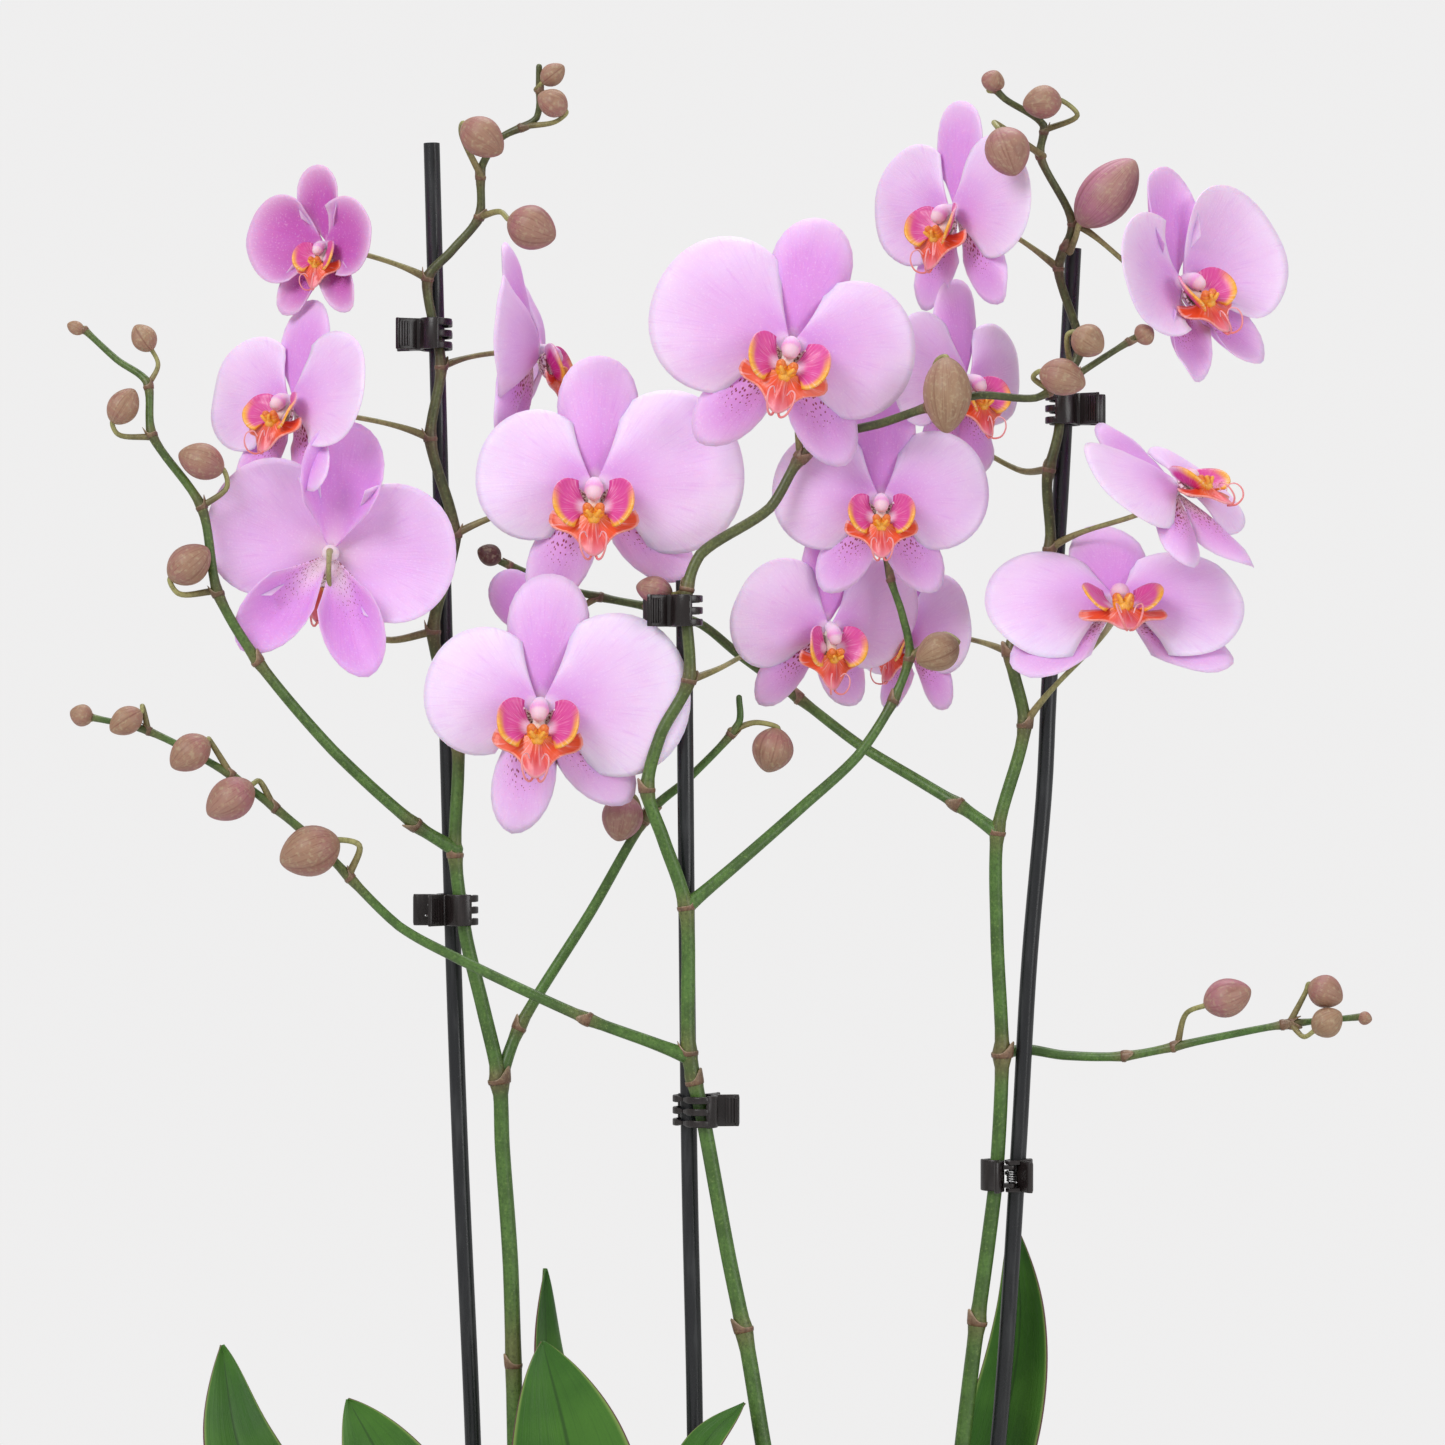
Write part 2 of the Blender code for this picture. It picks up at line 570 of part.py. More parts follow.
def plank(bm, start, end, widths, across, thickness):
    """A flat tapered bar from start to end, whose width lies along across."""
    bar = bmesh.new()
    bmesh.ops.create_cube(bar, size=1)
    along = Vector(end) - Vector(start)
    side = Vector(across).normalized()
    normal = side.cross(along).normalized()
    for vert in bar.verts:
        done = vert.co.z + 0.5
        width = widths[0] + (widths[1] - widths[0]) * done
        depth = normal * (vert.co.y * thickness)
        vert.co = (Vector(start) + along * done + side * (vert.co.x * width)) * MM + depth
    join(bm, bar)


def lip(bm):
    """The lip: a middle lobe that widens downwards, and a raised lobe on each side of the column."""
    plank(bm, (0, -2, -1), (0, -12, -8), (5, 7), (1, 0, 0), 2 * TEPAL_THICKNESS)
    plank(bm, (0, -10.5, -6), (0, -13, -27), (8, LIP_WIDTH / MM * 0.7), (1, 0, 0), 2 * TEPAL_THICKNESS)
    for hand in (-1, 1):
        plank(bm, (hand * 2, -9, -7), (hand * 10, -9, 6), (4, 8), (hand * 0.3, 1, 0), TEPAL_THICKNESS)


def column(bm):
    post = bmesh.new()
    lean = Matrix.Rotation(math.radians(80), 4, "X")
    bmesh.ops.create_cone(
        post, cap_ends=True, segments=6, radius1=COLUMN_RADIUS, radius2=COLUMN_RADIUS * 0.9, depth=12 * MM,
        matrix=Matrix.Translation((0, -6 * MM, -1 * MM)) @ lean,
    )
    join(bm, post)


def flower(name, parts):
    """Three sepals behind, two broad petals in front, the lip and the column, on one hub."""
    _, _, centre, turn, size, closing = FLOWERS[name]
    bend = 0.12 - closing
    pieces = bmesh.new()
    tepal(pieces, SEPAL_LENGTH, DORSAL_WIDTH, 0, bend, SEPAL_BACK, 2, 0.9)
    for hand in (-1, 1):
        tepal(pieces, SEPAL_LENGTH, LATERAL_WIDTH, hand * math.radians(148), bend, SEPAL_BACK, 2, 0.9)
        tepal(pieces, PETAL_LENGTH, PETAL_WIDTH, hand * math.radians(80), bend, -PETAL_FORWARD, 3, 0.75)
    lip(pieces)
    column(pieces)
    hub = bmesh.new()
    bmesh.ops.create_uvsphere(hub, u_segments=6, v_segments=3, radius=HUB_RADIUS)
    where = Matrix.Translation(place(centre)) @ facing(turn).to_4x4() @ Matrix.Scale(size, 4)
    bmesh.ops.transform(pieces, matrix=where, verts=pieces.verts)
    bmesh.ops.transform(hub, matrix=where, verts=hub.verts)
    obj = add(name, mesh_of(name, hub), "petal", parts)
    boolean(obj, helper(f"{name}_tepals", mesh_of("tepals", pieces)), "UNION", self_union=True)


# ---- Clips -----------------------------------------------------------------------------------


def route_at(route, height):
    """The point of a route at a height, in the route's own millimetres."""
    for low, high in zip(route, route[1:]):
        if low[2] <= height <= high[2]:
            return Vector(low).lerp(Vector(high), (height - low[2]) / (high[2] - low[2]))
    return Vector(route[-1])


def clip_frame(name):
    """Where a clip stands, with its x towards the tabs and its y from the stake to the stem."""
    plant, height, tab_side = CLIPS[name]
    stem = place(route_at(STEMS[plant], height))
    post = place(route_at(STAKES[plant], height))
    across = (stem - post).normalized()
    out = Vector((across.y, -across.x, 0))
    if out.x * tab_side[0] + out.y * tab_side[1] < 0:
        out.negate()
    up = Vector((0, 0, 1))
    frame = Matrix((out, across, up)).transposed().to_4x4()
    return Matrix.Translation((stem + post) / 2) @ frame, (stem - post).length


def extrude(bm, outline, low, high):
    """A flat outline raised from one height to another."""
    piece = bmesh.new()
    face = piece.faces.new([piece.verts.new((x, y, low)) for x, y in outline])
    raised = bmesh.ops.extrude_face_region(piece, geom=[face])
    verts = [item for item in raised["geom"] if isinstance(item, bmesh.types.BMVert)]
    bmesh.ops.translate(piece, verts=verts, vec=(0, 0, high - low))
    join(bm, piece)


def wrap(spread, offset, steps):
    """Half the outline round stake and stem at an offset from them: up, round the stem and down."""
    points = [(offset, spread / 2)]
    for i in range(1, steps):
        angle = math.pi * i / steps
        points.append((offset * math.cos(angle), spread / 2 + offset * math.sin(angle)))
    return points + [(-offset, spread / 2), (-offset, JAW_GAP / 2)]


def hinge_place():
    """The hinge's distance from the middle of the clip."""
    return STEM_RADIUS + JAW_FREE_SPACE + CLIP_THICKNESS + CLIP_EAR_RADIUS + CLEARANCE


def box(low, high):
    bm = bmesh.new()
    bmesh.ops.create_cube(bm, size=1)
    middle = (Vector(low) + Vector(high)) / 2
    for vert in bm.verts:
        vert.co = Vector(middle[i] + vert.co[i] * (high[i] - low[i]) for i in range(3))
    return bm


def jaw(name, moving, parts):
    """One jaw: a band round the stem with three teeth, a finger tab, and two ears on the hinge."""
    frame, spread = clip_frame(name)
    hand = 1 if moving else -1
    inner = STEM_RADIUS + JAW_FREE_SPACE
    outer = inner + CLIP_THICKNESS
    hinge = hinge_place()
    reach = CLIP_EAR_RADIUS + CLEARANCE
    half = CLIP_HEIGHT / 2
    tab_out = Vector((math.cos(CLIP_TAB_ANGLE), math.sin(CLIP_TAB_ANGLE)))
    tab_up = Vector((-tab_out.y, tab_out.x))
    root = Vector((hinge, 0)) + tab_up * reach
    tip = root + tab_out * CLIP_TAB_LENGTH
    outline = [tuple(tip), tuple(root), (inner, reach)]
    outline += wrap(spread, inner, 4)
    outline += wrap(spread, outer, 4)[::-1]
    outline += [(outer, reach + CLIP_THICKNESS), tuple(root + tab_up * CLIP_THICKNESS)]
    outline += [tuple(tip + tab_up * CLIP_THICKNESS)]
    body = bmesh.new()
    extrude(body, [(x, hand * y) for x, y in outline], -half, half)
    ears = bmesh.new()
    ear_top = half - CLIP_EAR_HEIGHT - CLEARANCE if moving else half
    ear = [(hinge + CLIP_EAR_RADIUS * math.sin(a), -CLIP_EAR_RADIUS * math.cos(a)) for a in EAR_ANGLES]
    ear += [(hinge + side * CLIP_EAR_RADIUS, reach + CLIP_THICKNESS / 2) for side in (1, -1)]
    for low in (ear_top - CLIP_EAR_HEIGHT, -ear_top):
        extrude(ears, [(x, hand * y) for x, y in ear], low, low + CLIP_EAR_HEIGHT)
    if not moving:
        post_base = Vector((hinge, 0, POST_INSET - half))
        ears_post = bmesh.new()
        ears_post.from_mesh(cylinder(CLIP_POST_RADIUS, CLIP_HEIGHT - 2 * POST_INSET, 8, post_base))
        join(ears, ears_post)
    slots = bmesh.new()
    gap = (CLIP_HEIGHT - 3 * CLIP_TOOTH) / 2
    for low in (CLIP_TOOTH / 2, -CLIP_TOOTH / 2 - gap):
        side = sorted((-hand * CLIP_THICKNESS, hand * (spread + outer)))
        join(slots, box((-2 * outer, side[0], low), (-inner * 0.2, side[1], low + gap)))
    for piece in (ears, body, slots):
        bmesh.ops.transform(piece, matrix=frame, verts=piece.verts)
    kind = "moving_jaw" if moving else "fixed_jaw"
    obj = add(f"{name}_{kind}", mesh_of(kind, body), "clip", parts)
    boolean(obj, helper(f"{name}_{kind}_ears", mesh_of("ears", ears)), "UNION", self_union=True)
    boolean(obj, helper(f"{name}_{kind}_slots", mesh_of("slots", slots)), "DIFFERENCE")
    if moving:
        hole = bmesh.new()
        hole.from_mesh(cylinder(CLIP_POST_RADIUS + POST_CLEARANCE, CLIP_HEIGHT, 8, Vector((hinge, 0, -half))))
        bmesh.ops.transform(hole, matrix=frame, verts=hole.verts)
        boolean(obj, helper(f"{name}_hinge_hole", mesh_of("hole", hole)), "DIFFERENCE")


def spring(name, parts):
    """The torsion spring: a few coils round the post, with a leg along each finger tab."""
    frame, _ = clip_frame(name)
    hinge = hinge_place()
    coil_radius = CLIP_POST_RADIUS + POST_CLEARANCE + SPRING_WIRE_RADIUS
    half = CLIP_HEIGHT / 2 - 2 * CLIP_EAR_HEIGHT - CLEARANCE * 2 - SPRING_WIRE_RADIUS
    turns, per_turn = 2.5, 6
    steps = int(turns * per_turn)
    points = []
    for i in range(steps + 1):
        angle = 2 * math.pi * i / per_turn - math.pi / 2
        height = -half + 2 * half * i / steps
        points.append(Vector((hinge + coil_radius * math.cos(angle), coil_radius * math.sin(angle), height)))
    leg = Vector((SPRING_LEG, 0, 0))
    route = [points[0] + leg, *points, points[-1] + leg]
    mesh = tube_mesh("spring", [[(point, SPRING_WIRE_RADIUS) for point in route]], 0)
    mesh.transform(frame)
    if frame.determinant() < 0:
        mesh.flip_normals()
    smooth(add(f"{name}_spring", mesh, "spring", parts))


empty_scene()
PARTS = collection("potted_orchid")
HELPERS = collection("cutters_and_unions")

planter(PARTS)
bark(PARTS)
for plant_name in CROWNS:
    crown(plant_name, PARTS)
    spike(plant_name, PARTS)
    stake(plant_name, PARTS)
for leaf_name in LEAVES:
    leaf(leaf_name, PARTS)
for flower_name in FLOWERS:
    flower(flower_name, PARTS)
for clip_name in CLIPS:
    jaw(clip_name, False, PARTS)
    jaw(clip_name, True, PARTS)
    spring(clip_name, PARTS)
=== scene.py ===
"""Potted orchid: the looks of three moth orchids in one glazed planter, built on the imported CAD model.

Metres, +Z up, in the CAD's own frame, and the plants' front faces -Y. Every route repeats the CAD's: a list
of points in millimetres whose height is measured from the top of the bark. Colours are linear RGB.
"""

import math
import random

import bmesh
import bpy
import numpy as np
from mathutils import Matrix, Vector, noise


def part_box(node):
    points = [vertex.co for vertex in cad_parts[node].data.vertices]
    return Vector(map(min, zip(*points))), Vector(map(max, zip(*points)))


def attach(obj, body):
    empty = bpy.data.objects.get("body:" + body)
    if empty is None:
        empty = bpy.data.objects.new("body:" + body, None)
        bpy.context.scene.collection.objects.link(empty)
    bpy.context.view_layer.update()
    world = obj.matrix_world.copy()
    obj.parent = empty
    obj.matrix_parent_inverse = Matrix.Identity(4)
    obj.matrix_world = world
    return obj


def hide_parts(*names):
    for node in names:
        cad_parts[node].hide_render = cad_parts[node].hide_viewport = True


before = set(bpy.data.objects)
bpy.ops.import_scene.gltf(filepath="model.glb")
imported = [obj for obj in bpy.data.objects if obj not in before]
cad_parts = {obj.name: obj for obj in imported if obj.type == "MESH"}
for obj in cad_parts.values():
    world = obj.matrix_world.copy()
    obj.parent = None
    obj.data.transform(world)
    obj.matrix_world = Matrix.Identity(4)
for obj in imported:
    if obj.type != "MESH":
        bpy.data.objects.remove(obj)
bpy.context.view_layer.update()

MM = 0.001
BARK_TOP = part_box("potting_bark")[1].z
PLANTER_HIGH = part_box("planter")[1]
ROOT_BODY = "pot_and_plants"

CHIP_COUNT = 420
BARK_REACH = 112  # in mm from the planter's middle

# How far a full-size flower's petals and sepals reach from its middle, in mm
PETAL_REACH = 48
DORSAL_REACH = 47.5
LATERAL_REACH = 47

# The camera's focal length in mm, and its place
CAMERA_LENS = 124.6
CAMERA_PLACE = (0, -1.8, 0.55)

STAKE_RADIUS = 3 * MM
STEM_RADIUS = 3.1 * MM
STEM_TIP_RADIUS = 1.1 * MM
BRANCH_RADIUS = 2.3 * MM
STALK_RADIUS = 1.2 * MM
CLEARANCE = 0.3 * MM

CLIP_HEIGHT = 11.4 * MM
CLIP_THICKNESS = 1.4 * MM
CLIP_TOOTH = 3 * MM
CLIP_TAB_LENGTH = 8.5 * MM
CLIP_TAB_ANGLE = math.radians(30)
CLIP_EAR_RADIUS = 1.9 * MM
CLIP_EAR_HEIGHT = 1.4 * MM
CLIP_POST_RADIUS = 0.8 * MM
POST_CLEARANCE = 0.15 * MM
SPRING_WIRE_RADIUS = 0.35 * MM
SPRING_LEG = 4 * MM
JAW_FREE_SPACE = 1.3 * MM
JAW_GAP = 0.8 * MM
POST_INSET = 0.4 * MM
CLIP_HINGE = STEM_RADIUS + JAW_FREE_SPACE + CLIP_THICKNESS + CLIP_EAR_RADIUS + CLEARANCE

CROWNS = {"left": (-72, 3), "centre": (30, -4), "right": (80, 12)}

STAKES = {
    "left": [
        (-88, 22, 0), (-91, 22, 118), (-95.5, 22, 220), (-98, 22, 291), (-100.5, 22, 382), (-106, 22, 589),
    ],
    "centre": [(-9, -5.5, 0), (-10, -5.5, 130), (-12, -5.5, 225), (-13.88, -5.5, 429)],
    "right": [
        (88, 27, 0), (101, 27, 118), (108, 27, 220), (112, 26, 291), (117.5, 26, 354), (119, 26, 387),
        (122, 26, 439), (123.5, 25, 464), (128, 25, 551),
    ],
}

# Each spike: its main stem, and side branches that leave it
STEMS = {
    "left": [
        (-74, 14, 34), (-75, 17, 98), (-77, 18, 180), (-80, 17, 224), (-81, 16, 248), (-87, 15, 275),
        (-93, 14, 300), (-97, 14, 330), (-96, 14, 372), (-105, 14, 411), (-97, 13, 446), (-106, 14, 481),
        (-102, 14, 507), (-107, 14, 539), (-98, 12, 549), (-88, 10, 561), (-87, 8, 579), (-80, 5, 589),
        (-67, 3, 596), (-66, 0, 614),
    ],
    "centre": [
        (31, -15, 34), (21, -18, 88), (15, -18, 118), (9, -16, 154), (2, -14, 188), (-7, -13, 237),
        (-12, -13, 260), (-13, -13, 312), (-21, -13, 336), (-27, -13, 354), (-22, -13, 374), (-12, -13, 393),
        (-13, -13, 424), (-8, -12, 438), (17, -5, 455), (28, -4, 473), (40, -6, 481), (57, -13, 485),
        (73, -23, 490), (91, -27, 494), (111, -28, 493), (122, -26, 499), (136, -24, 508), (147, -22, 515),
    ],
    "right": [
        (80, 22, 34), (84, 25, 80), (88, 26, 118), (93, 26, 159), (97, 26, 188), (100, 26, 213),
        (102, 24, 257), (100, 22, 300), (100, 20, 338), (110, 20, 377), (105, 20, 403), (111, 20, 426),
        (119, 18.5, 441), (118, 18, 466), (122, 17.5, 483), (124, 17.5, 500), (130, 18, 514),
        (122, 17, 543), (127, 14, 559), (115, 10, 583), (116, 8, 594), (102, 5, 603), (98, 5, 607),
    ],
}
BRANCHES = {
    "left": [
        [(-97, 14, 332), (-111, 8, 341), (-140, -2, 368), (-166, -15, 400), (-180, -16, 424),
         (-186, -14, 455), (-204, -12, 481), (-206, -10, 500), (-217, -8, 508), (-229, -6, 519)],
        [(-81, 16, 248), (-74, 20, 267), (-48, 20, 309), (-26, 12, 346), (-12, 9, 358), (6, 8, 378),
         (6, 8, 387)],
    ],
    "centre": [
        [(-13, -13, 259), (-26, -14, 264), (-48, -14, 272), (-94, -8, 293), (-116, -7, 305), (-148, -7, 337),
         (-176, -7, 359), (-206, -6, 375), (-227, -6, 380)],
        [(-13, -13, 312), (6, -8, 328), (28, 2, 347), (49, 10, 366), (62, 14, 386), (68, 15, 403),
         (65, 15, 418), (61, 15, 430), (57, 13.5, 450)],
    ],
    "right": [
        [(100, 20, 338), (86, 24, 348), (73, 29, 356), (50, 37, 370), (28, 42, 387), (6, 37, 403),
         (-8, 29, 414), (-26, 26, 420), (-41, 26, 423), (-58, 24, 427), (-72, 24, 433), (-82, 23, 437)],
        [(102, 24, 256), (104, 33, 257), (112, 35, 258), (125, 34, 256), (147, 29, 256), (179, 23, 263),
         (204, 20, 268), (232, 18, 271)],
    ],
}

# How far each branch turns from green to olive towards its top
BRANCH_OLIVE = {"left": (0.3, 0.2), "centre": (0.2, 0.3), "right": (0.5, 0.1)}

# Nodes with a dry bract but no stalk: points of the stem and branches, by their place in the lists above
PLAIN_NODES = {
    "left": {0: [1.6, 4, 8], 1: [1.0, 3.0], 2: [1.0, 3.0]},
    "centre": {0: [3.2, 5.6, 9, 15], 1: [2.0, 5.0], 2: [4.0]},
    "right": {0: [3.0, 6.0, 10, 16], 1: [1.0, 4.0, 7.0], 2: [4.0, 6.0]},
}

# Each bud: its stalk's first points, its base and tip, its width, and how pink it is, or -1 for dark brown
BUDS = {
    "left": [
        ([(-67, 2, 606)], (-65, -1, 608), (-57, -3, 614), 8, 0.3),
        ([(-72, 4, 593), (-60, -2, 594)], (-56, -6, 597), (-66, -8, 603), 10, 0.4),
        ([(-87, 8, 575), (-94, 0, 590)], (-93, -6, 593), (-79, -9, 582), 14, 0.5),
        ([(-88, 10, 561), (-80, 2, 562)], (-77, -2, 559), (-60, -5, 552), 16, 0.6),
        ([(-206, -10, 498), (-202, -10, 506)], (-204, -11, 511), (-210, -12, 520), 9, 0.2),
        ([(-204, -12, 480), (-216, -12, 481)], (-218, -13, 485), (-210, -14, 497), 11, 0.3),
        ([(-186, -14, 455), (-177, -14, 462)], (-178, -15, 468), (-194, -16, 474), 13, 0.5),
        ([(-181, -14, 425), (-194, -16, 424)], (-197, -17, 429), (-183, -19, 440), 14, 0.4),
        ([(3, 8, 375), (12, 10, 378)], (20, 10, 376), (16, 10, 360), 15, 0.5),
        ([(-29, 14, 341), (-32, 12, 351)], (-35, 11, 352), (-38, 10, 335), 15, 0.9),
        ([(-229, -6, 519)], (-229, -6, 518), (-235, -6, 521), 5, 0.2),
    ],
    "centre": [
        ([(73, -23, 490), (76, -30, 506)], (79, -34, 507), (79, -37, 480), 17, 0.15),
        ([(124, -26, 501), (122, -32, 515)], (124, -33, 516), (134, -36, 509), 12, 0.2),
        ([(116, -27, 496), (110, -30, 500)], (112, -34, 502), (128, -36, 497), 13, 0.4),
        ([(-206, -6, 375), (-208, -7, 384)], (-208, -9, 382), (-219, -11, 375), 10, 0.3),
        ([(-176, -7, 359), (-184, -8, 372)], (-184, -10, 372), (-197, -12, 362), 13, 0.5),
        ([(-161, -7, 348), (-166, -8, 357)], (-168, -11, 356), (-184, -13, 345), 15, 0.7),
        ([(-134, -7, 323), (-130, -10, 334)], (-137, -12, 336), (-158, -14, 328), 18, 0.4),
        ([(67, 15, 401), (80, 10, 410)], (85, 6, 407), (70, 3, 400), 14, 0.1),
        ([(145, -22, 514)], (147, -22, 514), (153, -22, 518), 8, 0.3),
        ([(-227, -6, 380)], (-226, -6, 379), (-234, -6, 382), 8, 0.3),
        ([(-13, -11, 425)], (-18, -6, 424), (-31, -3, 427), 10, 0.8),
    ],
    "right": [
        ([(116, 8, 592), (128, 4, 597)], (122, 1, 602), (108, -2, 600), 12, 0.5),
        ([(116, 10, 583), (97, -16, 592)], (98, -23, 589), (104, -27, 572), 16, 0.6),
        ([(126, 15, 549), (128, 12, 554)], (129, 9, 558), (149, 6, 581), 19, 1.3),
        ([(166, 26, 260), (169, 22, 272)], (175, 18, 275), (192, 17, 281), 14, 0.8),
        ([(206, 20, 268), (212, 18, 280)], (213, 17, 283), (225, 16, 277), 12, 0.5),
        ([(-78, 23, 435)], (-81, 23, 437), (-89, 20, 441), 8, -1),
        ([(98, 5, 606)], (96, 5, 606), (99, 3, 613), 8.6, 0.5),
        ([(207, 19, 268), (211, 14, 264)], (214, 12, 266), (224, 11, 273), 11, 0.1),
        ([(231, 18, 271)], (231, 18, 271), (236, 17, 270), 5, 0.4),
    ],
}

# Each flower: the spike it grows on, its stalk's first points, its centre, the way it turns (to the
# right, upwards, and rolled clockwise, in degrees), its size, and how far its petals close forwards
FLOWERS = {
    "flower_01": ("left", [(-107, 14, 539)], (-143, 8, 550), (-32, 0, 0), 0.61, 0.4),
    "flower_02": ("left", [(-106, 14, 481)], (-155, 3, 493), (-40, 12, 0), 0.82, 0.15),
    "flower_03": ("left", [(-105, 14, 411), (-122, 13, 408), (-136, 8, 415), (-141, 0, 424)],
                  (-141, 1, 439), (180, 0, -12), 1.0, -0.12),
    "flower_04": ("left", [(-102, 14, 507)], (-69, 33, 514), (82, 0, 0), 0.85, -0.1),
    "flower_05": ("left", [(-97, 13, 446)], (-46, -2, 463), (0, 0, 0), 1.0, 0),
    "flower_06": ("left", [(-96, 14, 372)], (-65, -15, 384), (0, 0, 3), 1.0, 0),
    "flower_07": ("right", [(-45, 26, 424)], (-65, 14, 408), (0, 0, -36), 0.62, 0),
    "flower_08": ("centre", [(28, -4, 473)], (24, -22, 512), (4, 0, 14), 1.0, 0),
    "flower_09": ("right", [(122, 17, 543)], (84, 12, 563), (-50, 0, 0), 0.85, 0.1),
    "flower_10": ("right", [(119, 18, 470), (108, 36, 471), (85, 36, 487)], (88, 17, 502), (46, 0, 0),
                  0.79, 0),
    "flower_11": ("centre", [(61, 15, 430)], (57, 2, 458), (0, 0, 0), 0.82, 0),
    "flower_12": ("centre", [(-12, -13, 393), (-2, -4, 397), (9, 18, 403)], (38, 20, 413), (26, -18, 0),
                  0.8, 0),
    "flower_13": ("right", [(127, 14, 559)], (165, 5, 536), (42, 15, -14), 0.88, 0.35),
    "flower_14": ("right", [(119, 18.5, 441)], (162, -10, 462), (50, 45, 0), 0.85, 0),
    "flower_15": ("right", [(110, 20, 377)], (141, -10, 420), (5, 42, 0), 0.98, 0),
    "flower_16": ("right", [(105, 20, 403)], (68, 52, 411), (-50, 0, 0), 0.7, 0),
}

# How each bloom differs from the pattern: its petals' reach (left, right) against the usual, the way its
# lateral sepals point (left, right) from straight up, and how deep its pink is
BLOOM_HABITS = {
    "flower_01": ((1.0, 0.9), (-148, 148), 1.9),
    "flower_02": ((1.0, 1.0), (-148, 148), 0.5),
    "flower_03": ((0.95, 0.95), (-150, 150), 0.6),
    "flower_04": ((1.0, 1.0), (-148, 148), 0.8),
    "flower_05": ((0.9, 1.13), (-154, 134), 0.25),
    "flower_06": ((0.88, 1.12), (-170, 134), 0.2),
    "flower_07": ((0.55, 0.55), (-148, 148), 0.5),
    "flower_08": ((1.08, 0.94), (-150, 140), 0.5),
    "flower_10": ((1.0, 0.9), (-160, 150), 0.5),
    "flower_13": ((1.0, 1.1), (-150, 150), 0.5),
    "flower_15": ((1.0, 1.0), (-122, 118), 0.4),
}
USUAL_HABIT = ((1.0, 1.0), (-148, 148), 0.45)

# Each leaf: its plant, its midrib from the crown to the tip, its width, and the way its upper face looks
LEAVES = {
    "left_leaf_1": ("left", [(-72, 3, 14), (-110, -4, 34), (-152, -8, 74), (-174, -6, 118), (-180, 0, 154)],
                    42, (0.6, -1, 0.3)),
    "left_leaf_2": ("left", [(-72, 3, 25), (-92, -18, 46), (-108, -26, 86), (-122, -28, 118),
                             (-133, -26, 138)], 46, (0.2, -1, 0.2)),
    "left_leaf_3": ("left", [(-72, 3, 38), (-57, -18, 54), (-50, -26, 84), (-54, -27, 118), (-64, -22, 158)],
                    50, (0, -1, 0.1)),
    "left_leaf_4": ("left", [(-72, 3, 30), (-58, 14, 60), (-60, 20, 110), (-65, 18, 150), (-64, 12, 180)],
                    26, (0.85, -0.55, 0)),
    "left_leaf_5": ("left", [(-72, 3, 8), (-63, 36, 32), (-66, 74, 52), (-74, 112, 48), (-82, 140, 28)],
                    50, (0, 0.1, 1)),
    "centre_leaf_1": ("centre", [(30, -4, 30), (8, -32, 50), (-8, -38, 84), (-8, -34, 118), (8, -30, 137)],
                      36, (-0.9, -0.6, 0.5)),
    "centre_leaf_2": ("centre", [(30, -4, 12), (36, -40, 40), (44, -84, 56), (50, -122, 44), (54, -148, 18)],
                      52, (0, -0.1, 1)),
    "centre_leaf_3": ("centre", [(30, -4, 10), (18, 36, 36), (6, 76, 56), (-4, 114, 54), (-10, 142, 36)],
                      52, (0, 0.1, 1)),
    "centre_leaf_4": ("centre", [(30, -4, 30), (34, 18, 56), (36, 34, 84), (40, 44, 100), (44, 50, 108)],
                      30, (0, -1, 0.5)),
    "right_leaf_1": ("right", [(80, 12, 16), (76, 36, 36), (90, 44, 80), (104, 45, 118), (110, 44, 160),
                               (107, 42, 195)], 30, (-0.4, -1, 0)),
    "right_leaf_2": ("right", [(80, 12, 10), (114, 4, 40), (152, -6, 58), (184, -14, 50), (206, -18, 30)],
                     52, (0.1, 0, 1)),
    "right_leaf_3": ("right", [(80, 12, 27), (98, -26, 52), (114, -64, 62), (126, -98, 50), (134, -122, 26)],
                     48, (0.1, -0.1, 1)),
}

# Each clip: its plant, its height above the bark, and the side that its finger tabs point to
CLIPS = {
    "clip_1": ("left", 519, (-1, 0)),
    "clip_2": ("left", 310, (-1, 0)),
    "clip_3": ("centre", 418, (-1, 0)),
    "clip_4": ("centre", 239, (1, 0)),
    "clip_5": ("right", 492, (1, 0)),
    "clip_6": ("right", 213, (0, -1)),
}

# Plant colours
GREEN = (0.075, 0.165, 0.028)
OLIVE = (0.1, 0.125, 0.03)
DARK_OLIVE = (0.065, 0.065, 0.024)
BRACT = (0.19, 0.1, 0.058)
BRACT_EDGE = (0.36, 0.25, 0.16)
STALK_FOOT = (0.2, 0.15, 0.06)
STALK_GREEN = (0.34, 0.32, 0.12)
STALK_PALE = (0.55, 0.45, 0.3)
BUD_GREEN = (0.33, 0.21, 0.12)
BUD_DARK = (0.1, 0.035, 0.03)
BUD_MAUVE = (0.34, 0.13, 0.13)
BUD_PINK = (0.5, 0.2, 0.3)
PETAL_PALE = (0.86, 0.66, 0.89)
PETAL_PINK = (0.69, 0.28, 0.74)
PETAL_DEEP = (0.52, 0.09, 0.46)
CREAM = (0.9, 0.8, 0.72)
MAGENTA = (0.66, 0.015, 0.28)
LIP_ORANGE = (0.8, 0.09, 0.025)
LIP_RED = (0.68, 0.045, 0.06)
RIM_YELLOW = (0.9, 0.42, 0.04)
CALLUS_YELLOW = (0.9, 0.38, 0.01)


def place(route_point):
    """A route's point, in millimetres above the bark, as a place in metres."""
    x, y, z = route_point
    return Vector((x * MM, y * MM, z * MM + BARK_TOP))


